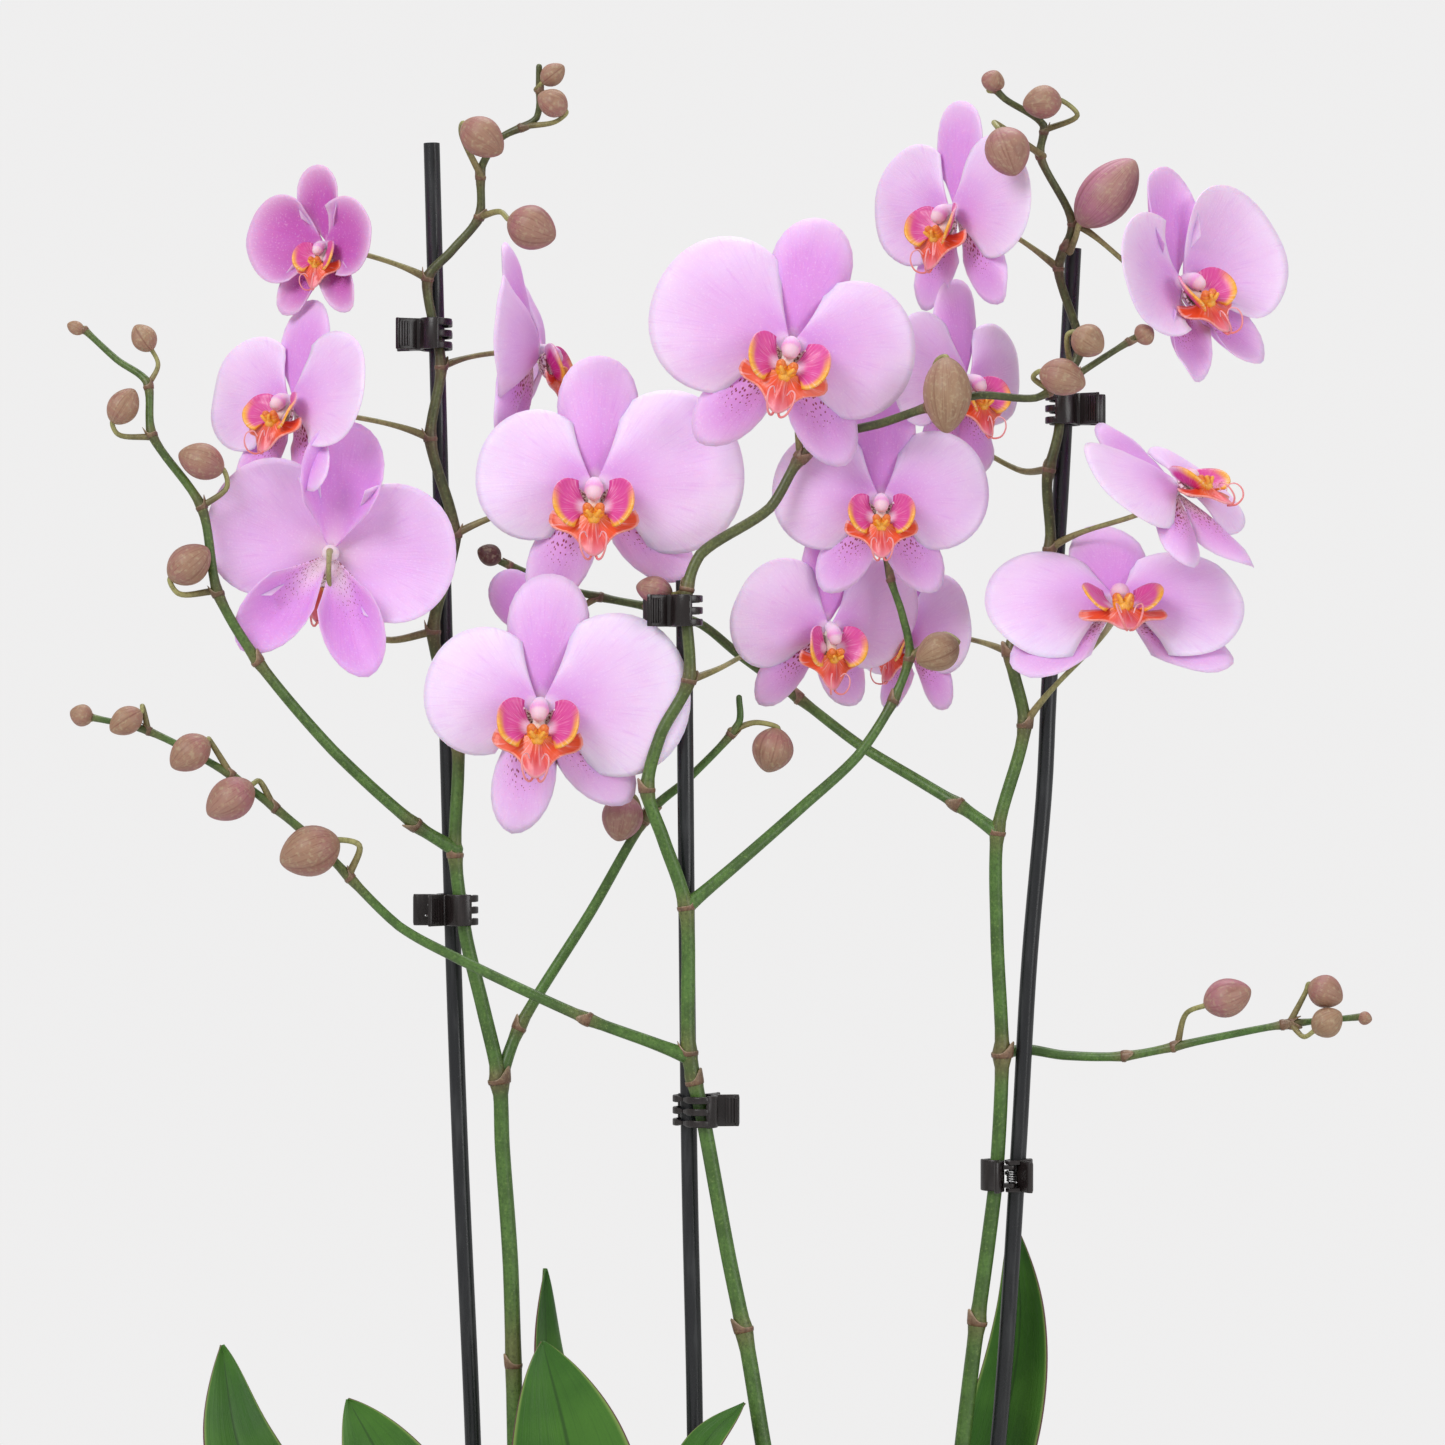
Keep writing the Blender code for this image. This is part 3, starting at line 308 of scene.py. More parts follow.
def mix(a, b, share):
    """Blends colours or numbers, for single values and for whole arrays of shares."""
    share = np.clip(np.asarray(share, float), 0, 1)[..., None]
    return np.asarray(a, float) * (1 - share) + np.asarray(b, float) * share


def ramp(x, low, high):
    """0 at low, 1 at high, and smooth between."""
    t = np.clip((np.asarray(x, float) - low) / (high - low), 0, 1)
    return t * t * (3 - 2 * t)


# ---- Mesh building ---------------------------------------------------------------------------


class Shape:
    """Gathers grids of points into one mesh. Each point has a paint colour and three pattern numbers, and
    each face has a kind, which is the number of its material."""

    def __init__(self):
        self.verts, self.paint, self.pattern, self.faces, self.kinds = [], [], [], [], []

    def points(self, places, paint, pattern):
        """Adds an array of points and gives their numbers in the same layout."""
        shape = places.shape[:-1]
        first = len(self.verts)
        self.verts.extend(places.reshape(-1, 3))
        self.paint.extend(np.broadcast_to(paint, (*shape, 3)).reshape(-1, 3))
        self.pattern.extend(np.broadcast_to(pattern, (*shape, 3)).reshape(-1, 3))
        return np.arange(first, len(self.verts)).reshape(shape)

    def quads(self, rows, kind=0):
        """Faces between the neighbours of a grid of point numbers."""
        a, b, c, d = rows[:-1, :-1], rows[:-1, 1:], rows[1:, 1:], rows[1:, :-1]
        for quad in np.stack([a, b, c, d], -1).reshape(-1, 4):
            self.face(quad, kind)

    def face(self, corners, kind=0):
        self.faces.append([int(i) for i in corners])
        self.kinds.append(kind)

    def ring_grid(self, places, paint=0.0, pattern=0.0, kind=0):
        """A tube of rings, each row one ring, closed with a face at both ends."""
        numbers = self.points(places, paint, pattern)
        self.quads(np.concatenate([numbers, numbers[:, :1]], 1), kind)
        self.face(numbers[0][::-1], kind)
        self.face(numbers[-1], kind)

    def sheet(self, middle, thickness, paint, pattern, back_paint=None, back_pattern=None):
        """A thin closed sheet round a grid of middle points."""
        normal = np.cross(np.gradient(middle, axis=1), np.gradient(middle, axis=0))
        normal /= np.maximum(np.linalg.norm(normal, axis=-1, keepdims=True), 1e-12)
        half = normal * np.broadcast_to(thickness, middle.shape[:2])[..., None] / 2
        front = self.points(middle + half, paint, pattern)
        back = self.points(
            middle - half,
            paint if back_paint is None else back_paint,
            pattern if back_pattern is None else back_pattern,
        )
        self.quads(front)
        self.quads(back[:, ::-1])
        border = [
            *[(0, j) for j in range(front.shape[1])],
            *[(i, front.shape[1] - 1) for i in range(1, front.shape[0])],
            *[(front.shape[0] - 1, j) for j in range(front.shape[1] - 2, -1, -1)],
            *[(i, 0) for i in range(front.shape[0] - 2, -1, -1)],
        ]
        for here, there in zip(border, border[1:]):
            self.face((front[here], front[there], back[there], back[here]))

    def build(self, name, materials, body=ROOT_BODY, replaced=(), sharp=None):
        """The finished piece, riding on its body."""
        mesh = bpy.data.meshes.new(name)
        mesh.from_pydata(np.array(self.verts).tolist(), [], self.faces)
        mesh.polygons.foreach_set("material_index", self.kinds)
        paint = mesh.attributes.new("paint", "FLOAT_COLOR", "POINT")
        paint.data.foreach_set("color", np.insert(np.array(self.paint), 3, 1, axis=1).ravel())
        pattern = mesh.attributes.new("pattern", "FLOAT_VECTOR", "POINT")
        pattern.data.foreach_set("vector", np.array(self.pattern).ravel())
        bm = bmesh.new()
        bm.from_mesh(mesh)
        bmesh.ops.remove_doubles(bm, verts=bm.verts, dist=1e-6)
        bmesh.ops.dissolve_degenerate(bm, edges=bm.edges, dist=1e-7)
        bmesh.ops.recalc_face_normals(bm, faces=bm.faces)
        bm.to_mesh(mesh)
        bm.free()
        finish_piece(name, mesh, materials, body, replaced, sharp)


def finish_piece(name, mesh, materials, body=ROOT_BODY, replaced=(), sharp=None):
    """Makes a mesh an object of the scene that rides on its body. Edges over sharp degrees stay sharp."""
    for made in materials:
        mesh.materials.append(made)
    mesh.shade_smooth()
    if sharp:
        mesh.set_sharp_from_angle(angle=math.radians(sharp))
    obj = bpy.data.objects.new(name, mesh)
    bpy.context.scene.collection.objects.link(obj)
    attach(obj, body)
    if replaced:
        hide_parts(*replaced)


def spline(points, per_span=8, softness=1.0):
    """A smooth line through the points, and how many points along each of its places is."""
    p = np.array([tuple(point) for point in points], float)
    p = np.vstack([2 * p[0] - p[1], p, 2 * p[-1] - p[-2]])
    knots = np.concatenate([[0], np.cumsum(np.linalg.norm(np.diff(p, axis=0), axis=1) ** 0.5)])
    line, shares = [], []
    for i in range(len(p) - 3):
        steps = np.arange(per_span + (i == len(p) - 4)) / per_span
        t0, t1, t2, t3 = knots[i:i + 4]
        t = (t1 + (t2 - t1) * steps)[:, None]
        a = p[i] * (t1 - t) / (t1 - t0) + p[i + 1] * (t - t0) / (t1 - t0)
        b = p[i + 1] * (t2 - t) / (t2 - t1) + p[i + 2] * (t - t1) / (t2 - t1)
        c = p[i + 2] * (t3 - t) / (t3 - t2) + p[i + 3] * (t - t2) / (t3 - t2)
        d = a * (t2 - t) / (t2 - t0) + b * (t - t0) / (t2 - t0)
        e = b * (t3 - t) / (t3 - t1) + c * (t - t1) / (t3 - t1)
        curved = d * (t2 - t) / (t2 - t1) + e * (t - t1) / (t2 - t1)
        straight = p[i + 1] + (p[i + 2] - p[i + 1]) * steps[:, None]
        line.append(curved * softness + straight * (1 - softness))
        shares.append(i + steps)
    return np.vstack(line), np.concatenate(shares)


def curve(points, per_span):
    """A smooth line through the points, and how far along it each of its places is, from 0 to 1."""
    line, shares = spline(points, per_span)
    return line, shares / shares.max()


def frames(line, first_side=(0.31, -0.8, 0.2)):
    """The way a line goes, and two steady directions across it, at each of its points."""
    along = units(np.gradient(line, axis=0))
    side = np.array(first_side)
    sides = []
    for direction in along:
        side = side - direction * side.dot(direction)
        side /= np.linalg.norm(side)
        sides.append(side)
    sides = np.array(sides)
    return along, sides, np.cross(along, sides)


def units(rows):
    """Rows of directions, each made one long."""
    return rows / np.linalg.norm(rows, axis=1, keepdims=True)


def around(count):
    """Evenly spaced angles round a circle."""
    return 2 * math.pi * np.arange(count) / count


def lengths(line):
    """How far along the line each of its points is."""
    return np.concatenate([[0], np.cumsum(np.linalg.norm(np.diff(line, axis=0), axis=1))])


def spaced(line, shares):
    """The line's points at the given shares of its length."""
    run = lengths(line)
    return np.stack([np.interp(shares * run[-1], run, line[:, k]) for k in range(3)], -1)


def tube(shape, line, radii, paint, sides=12, kind=0, flutes=0, flute_depth=0.0, round_ends=True):
    """A tube of varying radius along a line, with rounded ends. Its pattern holds the length along it."""
    radii = np.broadcast_to(np.asarray(radii, float), (len(line),))
    paint = np.broadcast_to(np.asarray(paint, float), (len(line), 3))
    along, side, other = frames(line)
    run = lengths(line)
    if round_ends:
        lean = np.radians([78, 50, 25])
        head = [(line[0] - along[0] * radii[0] * math.sin(a), radii[0] * math.cos(a)) for a in lean]
        tail = [(line[-1] + along[-1] * radii[-1] * math.sin(a), radii[-1] * math.cos(a)) for a in lean[::-1]]
        line = np.vstack([[p for p, _ in head], line, [p for p, _ in tail]])
        radii = np.concatenate([[r for _, r in head], radii, [r for _, r in tail]])
        pad = ((3, 3), (0, 0))
        paint, side, other = (np.pad(array, pad, mode="edge") for array in (paint, side, other))
        run = np.pad(run, 3, mode="edge")
    angles = around(sides)
    swell = 1 + flute_depth * np.cos(flutes * angles)
    x, y = ((part(angles) * swell)[None, :, None] for part in (np.cos, np.sin))
    places = line[:, None] + (x * side[:, None] + y * other[:, None]) * radii[:, None, None]
    pattern = np.zeros((len(line), sides, 3))
    pattern[..., 0] = np.abs(np.sin(angles))[None]
    pattern[..., 1] = run[:, None]
    shape.ring_grid(places, paint[:, None], pattern, kind)


# ---- Materials -------------------------------------------------------------------------------


class Material:
    """A node material: calls add and wire nodes, and end on the Principled shader."""

    def __init__(self, name, **sockets):
        self.made = bpy.data.materials.new(name)
        self.made.use_nodes = True
        self.tree = self.made.node_tree
        self.shader = self.tree.nodes["Principled BSDF"]
        for socket, value in sockets.items():
            self.shader.inputs[socket.replace("_", " ")].default_value = value

    def node(self, kind, inputs=None, out=0, **settings):
        made = self.tree.nodes.new("ShaderNode" + kind)
        for key, value in settings.items():
            setattr(made, key, value)
        for key, value in (inputs or {}).items():
            if isinstance(value, bpy.types.NodeSocket):
                self.tree.links.new(value, made.inputs[key])
            else:
                made.inputs[key].default_value = value
        return made.outputs[out]

    def math(self, operation, a, b=0.0, c=0.0):
        return self.node("Math", {0: a, 1: b, 2: c}, operation=operation)

    def attribute(self, name, out="Color"):
        return self.node("Attribute", out=out, attribute_name=name)

    def pattern(self):
        split = self.node("SeparateXYZ", {0: self.attribute("pattern", "Vector")}, out=0).node
        return split.outputs[0], split.outputs[1], split.outputs[2]

    def scaled(self, x, y, x_scale, y_scale):
        """Two pattern numbers as a flat place, each times its own scale."""
        x, y = self.math("MULTIPLY", x, x_scale), self.math("MULTIPLY", y, y_scale)
        return self.node("CombineXYZ", {0: x, 1: y})

    def here(self):
        return self.node("TexCoord", out="Object")

    def stretch(self, vector, scale):
        return self.node("Mapping", {"Vector": vector, "Scale": scale})

    def noise(self, vector, scale, detail=2.0, roughness=0.5):
        settings = {"Vector": vector, "Scale": scale, "Detail": detail, "Roughness": roughness}
        return self.node("TexNoise", settings, out="Fac")

    def ramp(self, value, low, high, to_low=0.0, to_high=1.0):
        limits = {"Value": value, "From Min": low, "From Max": high, "To Min": to_low, "To Max": to_high}
        return self.node("MapRange", limits, interpolation_type="SMOOTHSTEP")

    def blend(self, share, a, b, how="MIX"):
        made = self.tree.nodes.new("ShaderNodeMix")
        made.data_type = "RGBA"
        made.blend_type = how
        for key, value in ((0, share), (6, a), (7, b)):
            if isinstance(value, bpy.types.NodeSocket):
                self.tree.links.new(value, made.inputs[key])
            else:
                made.inputs[key].default_value = (*value, 1) if key else value
        return made.outputs[2]

    def over(self, colour, other, value, low, high, most=1.0):
        """The colour turning into another, by up to the most share, as a value goes from low to high."""
        return self.blend(self.ramp(value, low, high, 0.0, most), colour, other)

    def link(self, socket, value):
        self.tree.links.new(value, self.shader.inputs[socket])

    def bump_two(self, coarse, coarse_share, fine, fine_share, distance, strength):
        """A bump from two heights, each with its share."""
        height = self.math("MULTIPLY_ADD", coarse, coarse_share, self.math("MULTIPLY", fine, fine_share))
        self.bump(height, distance, strength)

    def bump(self, height, distance, strength=1.0):
        self.link("Normal", self.node("Bump", {"Height": height, "Distance": distance, "Strength": strength}))


def petal_material():
    """Paint, with fine veins that fan out from the foot, and maroon spots where the pattern asks for them."""
    mat = Material(
        "petal_skin", Roughness=0.55, Subsurface_Weight=0.2, Subsurface_Scale=0.004, Sheen_Weight=0.12
    )
    across, along, spotted = mat.pattern()
    veins = mat.noise(mat.scaled(across, along, 34.0, 2.4), 1.0, 3.0)
    branching = mat.noise(mat.scaled(across, along, 12.0, 5.0), 1.0, 4.0)
    cells = mat.noise(mat.here(), 1400.0, 1.0)
    clouds = mat.noise(mat.here(), 60.0, 2.0)
    paint = mat.attribute("paint")
    deep = mat.blend(1.0, paint, (0.86, 0.56, 0.9), "MULTIPLY")
    colour = mat.over(paint, deep, veins, 0.54, 0.74, 0.3)
    colour = mat.over(colour, deep, branching, 0.5, 0.8, 0.25)
    colour = mat.over(colour, deep, clouds, 0.35, 0.7, 0.2)
    colour = mat.over(colour, (0.97, 0.9, 0.98), cells, 0.55, 0.8, 0.18)
    cells_at = {"Vector": mat.scaled(across, along, 8.5, 20.0), "Scale": 1.0, "Randomness": 0.85}
    nearest = mat.node("TexVoronoi", cells_at, out="Distance", voronoi_dimensions="2D")
    reach = mat.math("MULTIPLY", spotted, 0.5)
    spots = mat.ramp(mat.math("SUBTRACT", nearest, reach), 0.04, -0.06)
    mat.link("Base Color", mat.blend(spots, colour, (0.24, 0.015, 0.06)))
    mat.bump_two(veins, 0.7, cells, 0.4, 0.00025, 0.6)
    return mat.made


def lip_material():
    """Waxy paint with radiating stripes, and dark bars near the throat."""
    mat = Material(
        "lip_skin", Roughness=0.38, Subsurface_Weight=0.12, Subsurface_Scale=0.002, Coat_Weight=0.15
    )
    across, along, barred = mat.pattern()
    stripes = mat.noise(mat.scaled(across, along, 16.0, 1.2), 1.0, 2.0)
    bars = mat.noise(mat.scaled(across, along, 9.0, 7.0), 1.0, 2.0)
    cells = mat.noise(mat.here(), 1600.0, 1.0)
    paint = mat.attribute("paint")
    light = mat.blend(0.7, paint, (0.95, 0.72, 0.86))
    colour = mat.over(paint, light, stripes, 0.54, 0.7, 0.5)
    shaded = mat.blend(1.0, paint, (0.8, 0.45, 0.5), "MULTIPLY")
    colour = mat.over(colour, shaded, stripes, 0.46, 0.3, 0.6)
    dark = mat.math("MULTIPLY", mat.ramp(bars, 0.5, 0.58), barred)
    mat.link("Base Color", mat.blend(dark, colour, (0.2, 0.012, 0.03)))
    mat.bump_two(stripes, 0.8, cells, 0.3, 0.0003, 0.6)
    return mat.made


def grown_material(name, mottle, fleck_scale, streak, bump, **sockets):
    """Paint broken up by soft mottling, fine flecks and lengthwise streaks."""
    mat = Material(name, **sockets)
    here = mat.here()
    clouds = mat.noise(here, 90.0, 3.0)
    flecks = mat.noise(here, fleck_scale, 2.0, 0.7)
    streaks = mat.noise(mat.stretch(here, (1.0, 1.0, streak)), 500.0, 2.0)
    paint = mat.attribute("paint")
    dark = mat.blend(1.0, paint, (0.5, 0.52, 0.45), "MULTIPLY")
    light = mat.blend(0.18, paint, (0.5, 0.6, 0.2))
    colour = mat.over(paint, dark, clouds, 0.4, 0.7, mottle)
    colour = mat.over(colour, dark, flecks, 0.5, 0.7, mottle)
    colour = mat.over(colour, light, flecks, 0.45, 0.25, mottle)
    colour = mat.over(colour, dark, streaks, 0.5, 0.75, mottle * 0.8)
    mat.link("Base Color", colour)
    mat.bump_two(streaks, 0.6, flecks, 0.5, bump, 0.6)
    return mat.made


def bud_material():
    """Paint with fine lengthwise veins and darker seams between the closed sepals."""
    mat = Material("bud_skin", Roughness=0.5, Subsurface_Weight=0.08, Subsurface_Scale=0.002)
    seam, along, turn = mat.pattern()
    veins = mat.noise(mat.scaled(turn, along, 22.0, 2.0), 1.0, 3.0)
    flecks = mat.noise(mat.here(), 700.0, 2.0)
    paint = mat.attribute("paint")
    dark = mat.blend(1.0, paint, (0.6, 0.42, 0.42), "MULTIPLY")
    colour = mat.over(paint, dark, veins, 0.48, 0.68, 0.55)
    colour = mat.over(colour, (0.5, 0.42, 0.26), flecks, 0.5, 0.72, 0.35)
    mat.link("Base Color", mat.over(colour, dark, seam, 0.12, 0.0, 0.75))
    mat.bump_two(veins, 0.7, flecks, 0.3, 0.0003, 0.6)
    return mat.made


def leaf_material():
    """Glossy green with parallel veins, a pale rim and a thin purple edge; paler beneath."""
    mat = Material("leaf_skin", Specular_IOR_Level=0.35, Coat_Weight=0.06, Coat_Roughness=0.2)
    across, along, side = mat.pattern()
    spread = mat.math("ABSOLUTE", across)
    veins = mat.noise(mat.scaled(across, along, 26.0, 0.9), 1.0, 3.0)
    clouds = mat.noise(mat.here(), 32.0, 3.0)
    cells = mat.noise(mat.here(), 1100.0, 2.0)
    colour = mat.over((0.026, 0.105, 0.007), (0.048, 0.155, 0.012), clouds, 0.35, 0.68)
    colour = mat.over(colour, (0.019, 0.075, 0.006), veins, 0.5, 0.72, 0.45)
    colour = mat.over(colour, (0.062, 0.17, 0.022), cells, 0.55, 0.8, 0.3)
    colour = mat.over(colour, (0.016, 0.06, 0.005), spread, 0.06, 0.01, 0.8)
    colour = mat.over(colour, (0.2, 0.3, 0.07), spread, 0.9, 0.97, 0.75)
    under = mat.blend(0.5, colour, (0.16, 0.22, 0.08))
    colour = mat.over(colour, under, side, -0.2, 0.2)
    mat.link("Base Color", mat.over(colour, (0.11, 0.035, 0.04), spread, 0.975, 0.992))
    mat.link("Roughness", mat.ramp(clouds, 0.3, 0.7, 0.34, 0.46))
    mat.bump_two(veins, 1.0, cells, 0.25, 0.0004, 0.5)
    return mat.made


def plastic_material(name, colour, worn, roughness):
    """Moulded plastic with a fine grain and faint scuffs."""
    mat = Material(name, Specular_IOR_Level=0.5)
    grain = mat.noise(mat.here(), 2600.0, 2.0)
    scuffs = mat.noise(mat.stretch(mat.here(), (1.0, 1.0, 0.12)), 420.0, 3.0)
    mat.link("Base Color", mat.over(colour, worn, scuffs, 0.5, 0.8, 0.6))
    mat.link("Roughness", mat.ramp(scuffs, 0.35, 0.75, roughness, roughness + 0.18))
    mat.bump(grain, 0.00006, 0.5)
    return mat.made


def steel_material():
    mat = Material("spring_steel", Metallic=1.0)
    drawn = mat.noise(mat.here(), 1800.0, 2.0)
    mat.link("Base Color", mat.over((0.42, 0.42, 0.43), (0.62, 0.62, 0.62), drawn, 0.3, 0.7))
    mat.link("Roughness", mat.ramp(drawn, 0.3, 0.7, 0.22, 0.4))
    mat.bump(drawn, 0.00003, 0.4)
    return mat.made


def bark_material():
    """Crumbled bark under the chips."""
    mat = Material("bark_crumb", Roughness=0.92)
    lumps = mat.noise(mat.here(), 160.0, 5.0, 0.7)
    grains = mat.noise(mat.here(), 900.0, 3.0)
    colour = mat.over((0.025, 0.014, 0.008), (0.12, 0.06, 0.03), lumps, 0.35, 0.65)
    mat.link("Base Color", mat.over(colour, (0.24, 0.14, 0.08), grains, 0.55, 0.75, 0.6))
    mat.bump(lumps, 0.004, 1.0)
    return mat.made


def glaze_material():
    """Off-white stoneware glaze, lightly speckled, slightly thinner and warmer at its edges."""
    mat = Material("glaze_white", Coat_Weight=0.5, Coat_Roughness=0.12)
    here = mat.here()
    clouds = mat.noise(here, 14.0, 3.0)
    speckles = mat.noise(here, 420.0, 2.0, 0.8)
    throwing = mat.noise(mat.stretch(here, (0.15, 0.15, 1.0)), 130.0, 2.0)
    colour = mat.over((0.8, 0.79, 0.76), (0.74, 0.73, 0.7), clouds, 0.3, 0.7)
    colour = mat.over(colour, (0.3, 0.24, 0.18), speckles, 0.7, 0.78, 0.6)
    thin, _, _ = mat.pattern()
    mat.link("Base Color", mat.blend(mat.math("MULTIPLY", thin, 0.6), colour, (0.55, 0.42, 0.3)))
    mat.link("Roughness", mat.ramp(clouds, 0.3, 0.7, 0.2, 0.32))
    mat.bump_two(throwing, 0.8, clouds, 0.6, 0.0007, 0.5)
    return mat.made


PETAL = petal_material()
LIP = lip_material()
STEM_SKIN = grown_material("stem_skin", 0.8, 900.0, 0.1, 0.0003, Roughness=0.42)
ROOT_SKIN = grown_material("root_skin", 0.4, 700.0, 0.15, 0.0004, Roughness=0.75)
SHEATH = grown_material("sheath_fibre", 0.6, 500.0, 0.05, 0.0006, Roughness=0.65)
CHIP_BARK = grown_material("chip_bark", 0.75, 420.0, 0.2, 0.0012, Roughness=0.9)
BUD_SKIN = bud_material()
LEAF = leaf_material()
STAKE_PLASTIC = plastic_material("stake_plastic", (0.012, 0.013, 0.015), (0.035, 0.037, 0.04), 0.22)
CLIP_PLASTIC = plastic_material("clip_plastic", (0.013, 0.009, 0.009), (0.035, 0.027, 0.026), 0.22)
STEEL = steel_material()


# ---- Flowers ---------------------------------------------------------------------------------


def facing(turn):
    """The rotation of a flower that starts facing -Y and turns right, up and clockwise."""
    yaw, pitch, roll = (math.radians(angle) for angle in turn)
    return Matrix.Rotation(yaw, 3, "Z") @ Matrix.Rotation(-pitch, 3, "X") @ Matrix.Rotation(roll, 3, "Y")


def placed(local, matrix):
    """Local places in millimetres, moved into the scene."""
    moved = np.array(matrix.to_3x3()) @ local.reshape(-1, 3).T * MM
    return (moved.T + np.array(matrix.translation)).reshape(local.shape)


def fan(rows, columns, direction, spread, foot, reach, narrowing, power, foot_share):
    """A sheet that fans out from the flower's middle in its plane: its across and along shares, its angle
    from straight up, and its radius. The outline's radius falls by narrowing towards both sides."""
    u = np.linspace(-1, 1, columns)[None, :] * np.ones((rows, 1))
    v = np.linspace(0, 1, rows)[:, None] * np.ones((1, columns))
    angle = math.radians(direction) + u * math.radians(spread) * (foot_share + (1 - foot_share) * v)
    outline = reach * (1 - narrowing * np.abs(u) ** power)
    radius = foot + (outline - foot) * v
    return u, v, angle, radius


def flat(angle, radius, depth):
    return np.stack([radius * np.sin(angle), depth, radius * np.cos(angle)], -1)


def ripple(seed, u, v, scale=1.6):
    """Soft unevenness over a sheet."""
    return np.array([
        [noise.noise(Vector((u[i, j] * scale, v[i, j] * scale * 1.3, seed))) for j in range(u.shape[1])]
        for i in range(u.shape[0])
    ])


def tepal(shape, matrix, seed, kind, direction, reach, bend, tone):
    """A petal or sepal. kind is petal, dorsal or lateral."""
    spread, narrowing, power, offset, rows, columns = {
        "petal": (60, 0.44, 2.3, -2.4, 18, 27),
        "dorsal": (36, 0.58, 2.1, 1.5, 16, 17),
        "lateral": (28, 0.55, 1.7, 1.9, 16, 15),
    }[kind]
    u, v, angle, radius = fan(rows, columns, direction, spread, 1.5, reach, narrowing, power, 0.85)
    edge = np.maximum(v**6, np.abs(u) ** 7 * ramp(v, 0.1, 0.5))
    depth = offset + bend * v**2 * reach
    depth += (1.8 if kind == "petal" else 0.8) * np.abs(u) ** 2 * v**1.5
    depth += ripple(seed, u, v) * 2.6 * v**1.5 + ripple(seed + 9, u, v, 3.4) * 1.1 * v**3
    if kind != "petal":
        depth -= 1.2 * np.exp(-((u / 0.3) ** 2)) * v * (1 - v)
    pink = {"petal": 0.14, "dorsal": 0.78, "lateral": 0.75}[kind] + tone - 0.3
    base = mix(PETAL_PALE, PETAL_PINK, pink)
    base = mix(base, PETAL_DEEP, max(0, tone - 0.9))
    foot_glow = np.exp(-((v / 0.48) ** 2)) * (0.9 if kind == "petal" else 0.8)
    streak = 0.6 * np.exp(-((u / 0.4) ** 2)) * (1 - v) * (kind != "petal")
    glow = mix(PETAL_PINK, PETAL_DEEP, max(0, tone - 0.9))
    paint = mix(base, glow, foot_glow + streak)
    paint = mix(paint, (0.93, 0.82, 0.94), edge * 0.55)
    spots = np.zeros_like(u)
    if kind == "lateral":
        outer_side = ramp(-u * np.sign(direction), -0.7, 0.9)
        spots = ramp(v, 0.85, 0.25) * (0.45 + 0.55 * outer_side)
        paint = mix(paint, CREAM, ramp(v, 0.5, 0.1) * 0.8)
    paint = mix(paint, (0.92, 0.8, 0.88), np.exp(-((v / 0.07) ** 2)))
    thickness = (0.95 - 0.6 * edge) * MM
    pattern = np.stack([u * (1.6 if kind == "petal" else 0.9), v, spots], -1)
    back = np.stack([pattern[..., 0], v, spots * 0.4], -1)
    back_paint = mix(mix(paint, base, 0.5), (0.8, 0.74, 0.6), 0.35 * np.exp(-((v / 0.25) ** 2)))
    shape.sheet(placed(flat(angle, radius, depth), matrix), thickness, paint, pattern, back_paint, back)


def column(shape, matrix):
    """The pale column, with its rounded cap."""
    line, share = curve([(0, -0.5, 0.3), (0, -4, 0.6), (0, -7.5, -0.6), (0, -9.6, -2.8)], 6)
    radii = 2.6 + 0.9 * ramp(share, 0.3, 0.85) - 0.5 * ramp(share, 0.9, 1)
    paint = mix((0.9, 0.72, 0.86), (0.8, 0.35, 0.68), ramp(share, 0.55, 0.9))
    paint = mix(paint, (0.9, 0.82, 0.7), ramp(share, 0.88, 1) * 0.5)
    scale = matrix.to_scale().x
    tube(shape, placed(line, matrix), radii * MM * scale, paint, 16)


def mirrored(route, hand):
    """A route of one half of the lip, or its mirror image for the other."""
    return [(hand * x, y, z) for x, y, z in route]


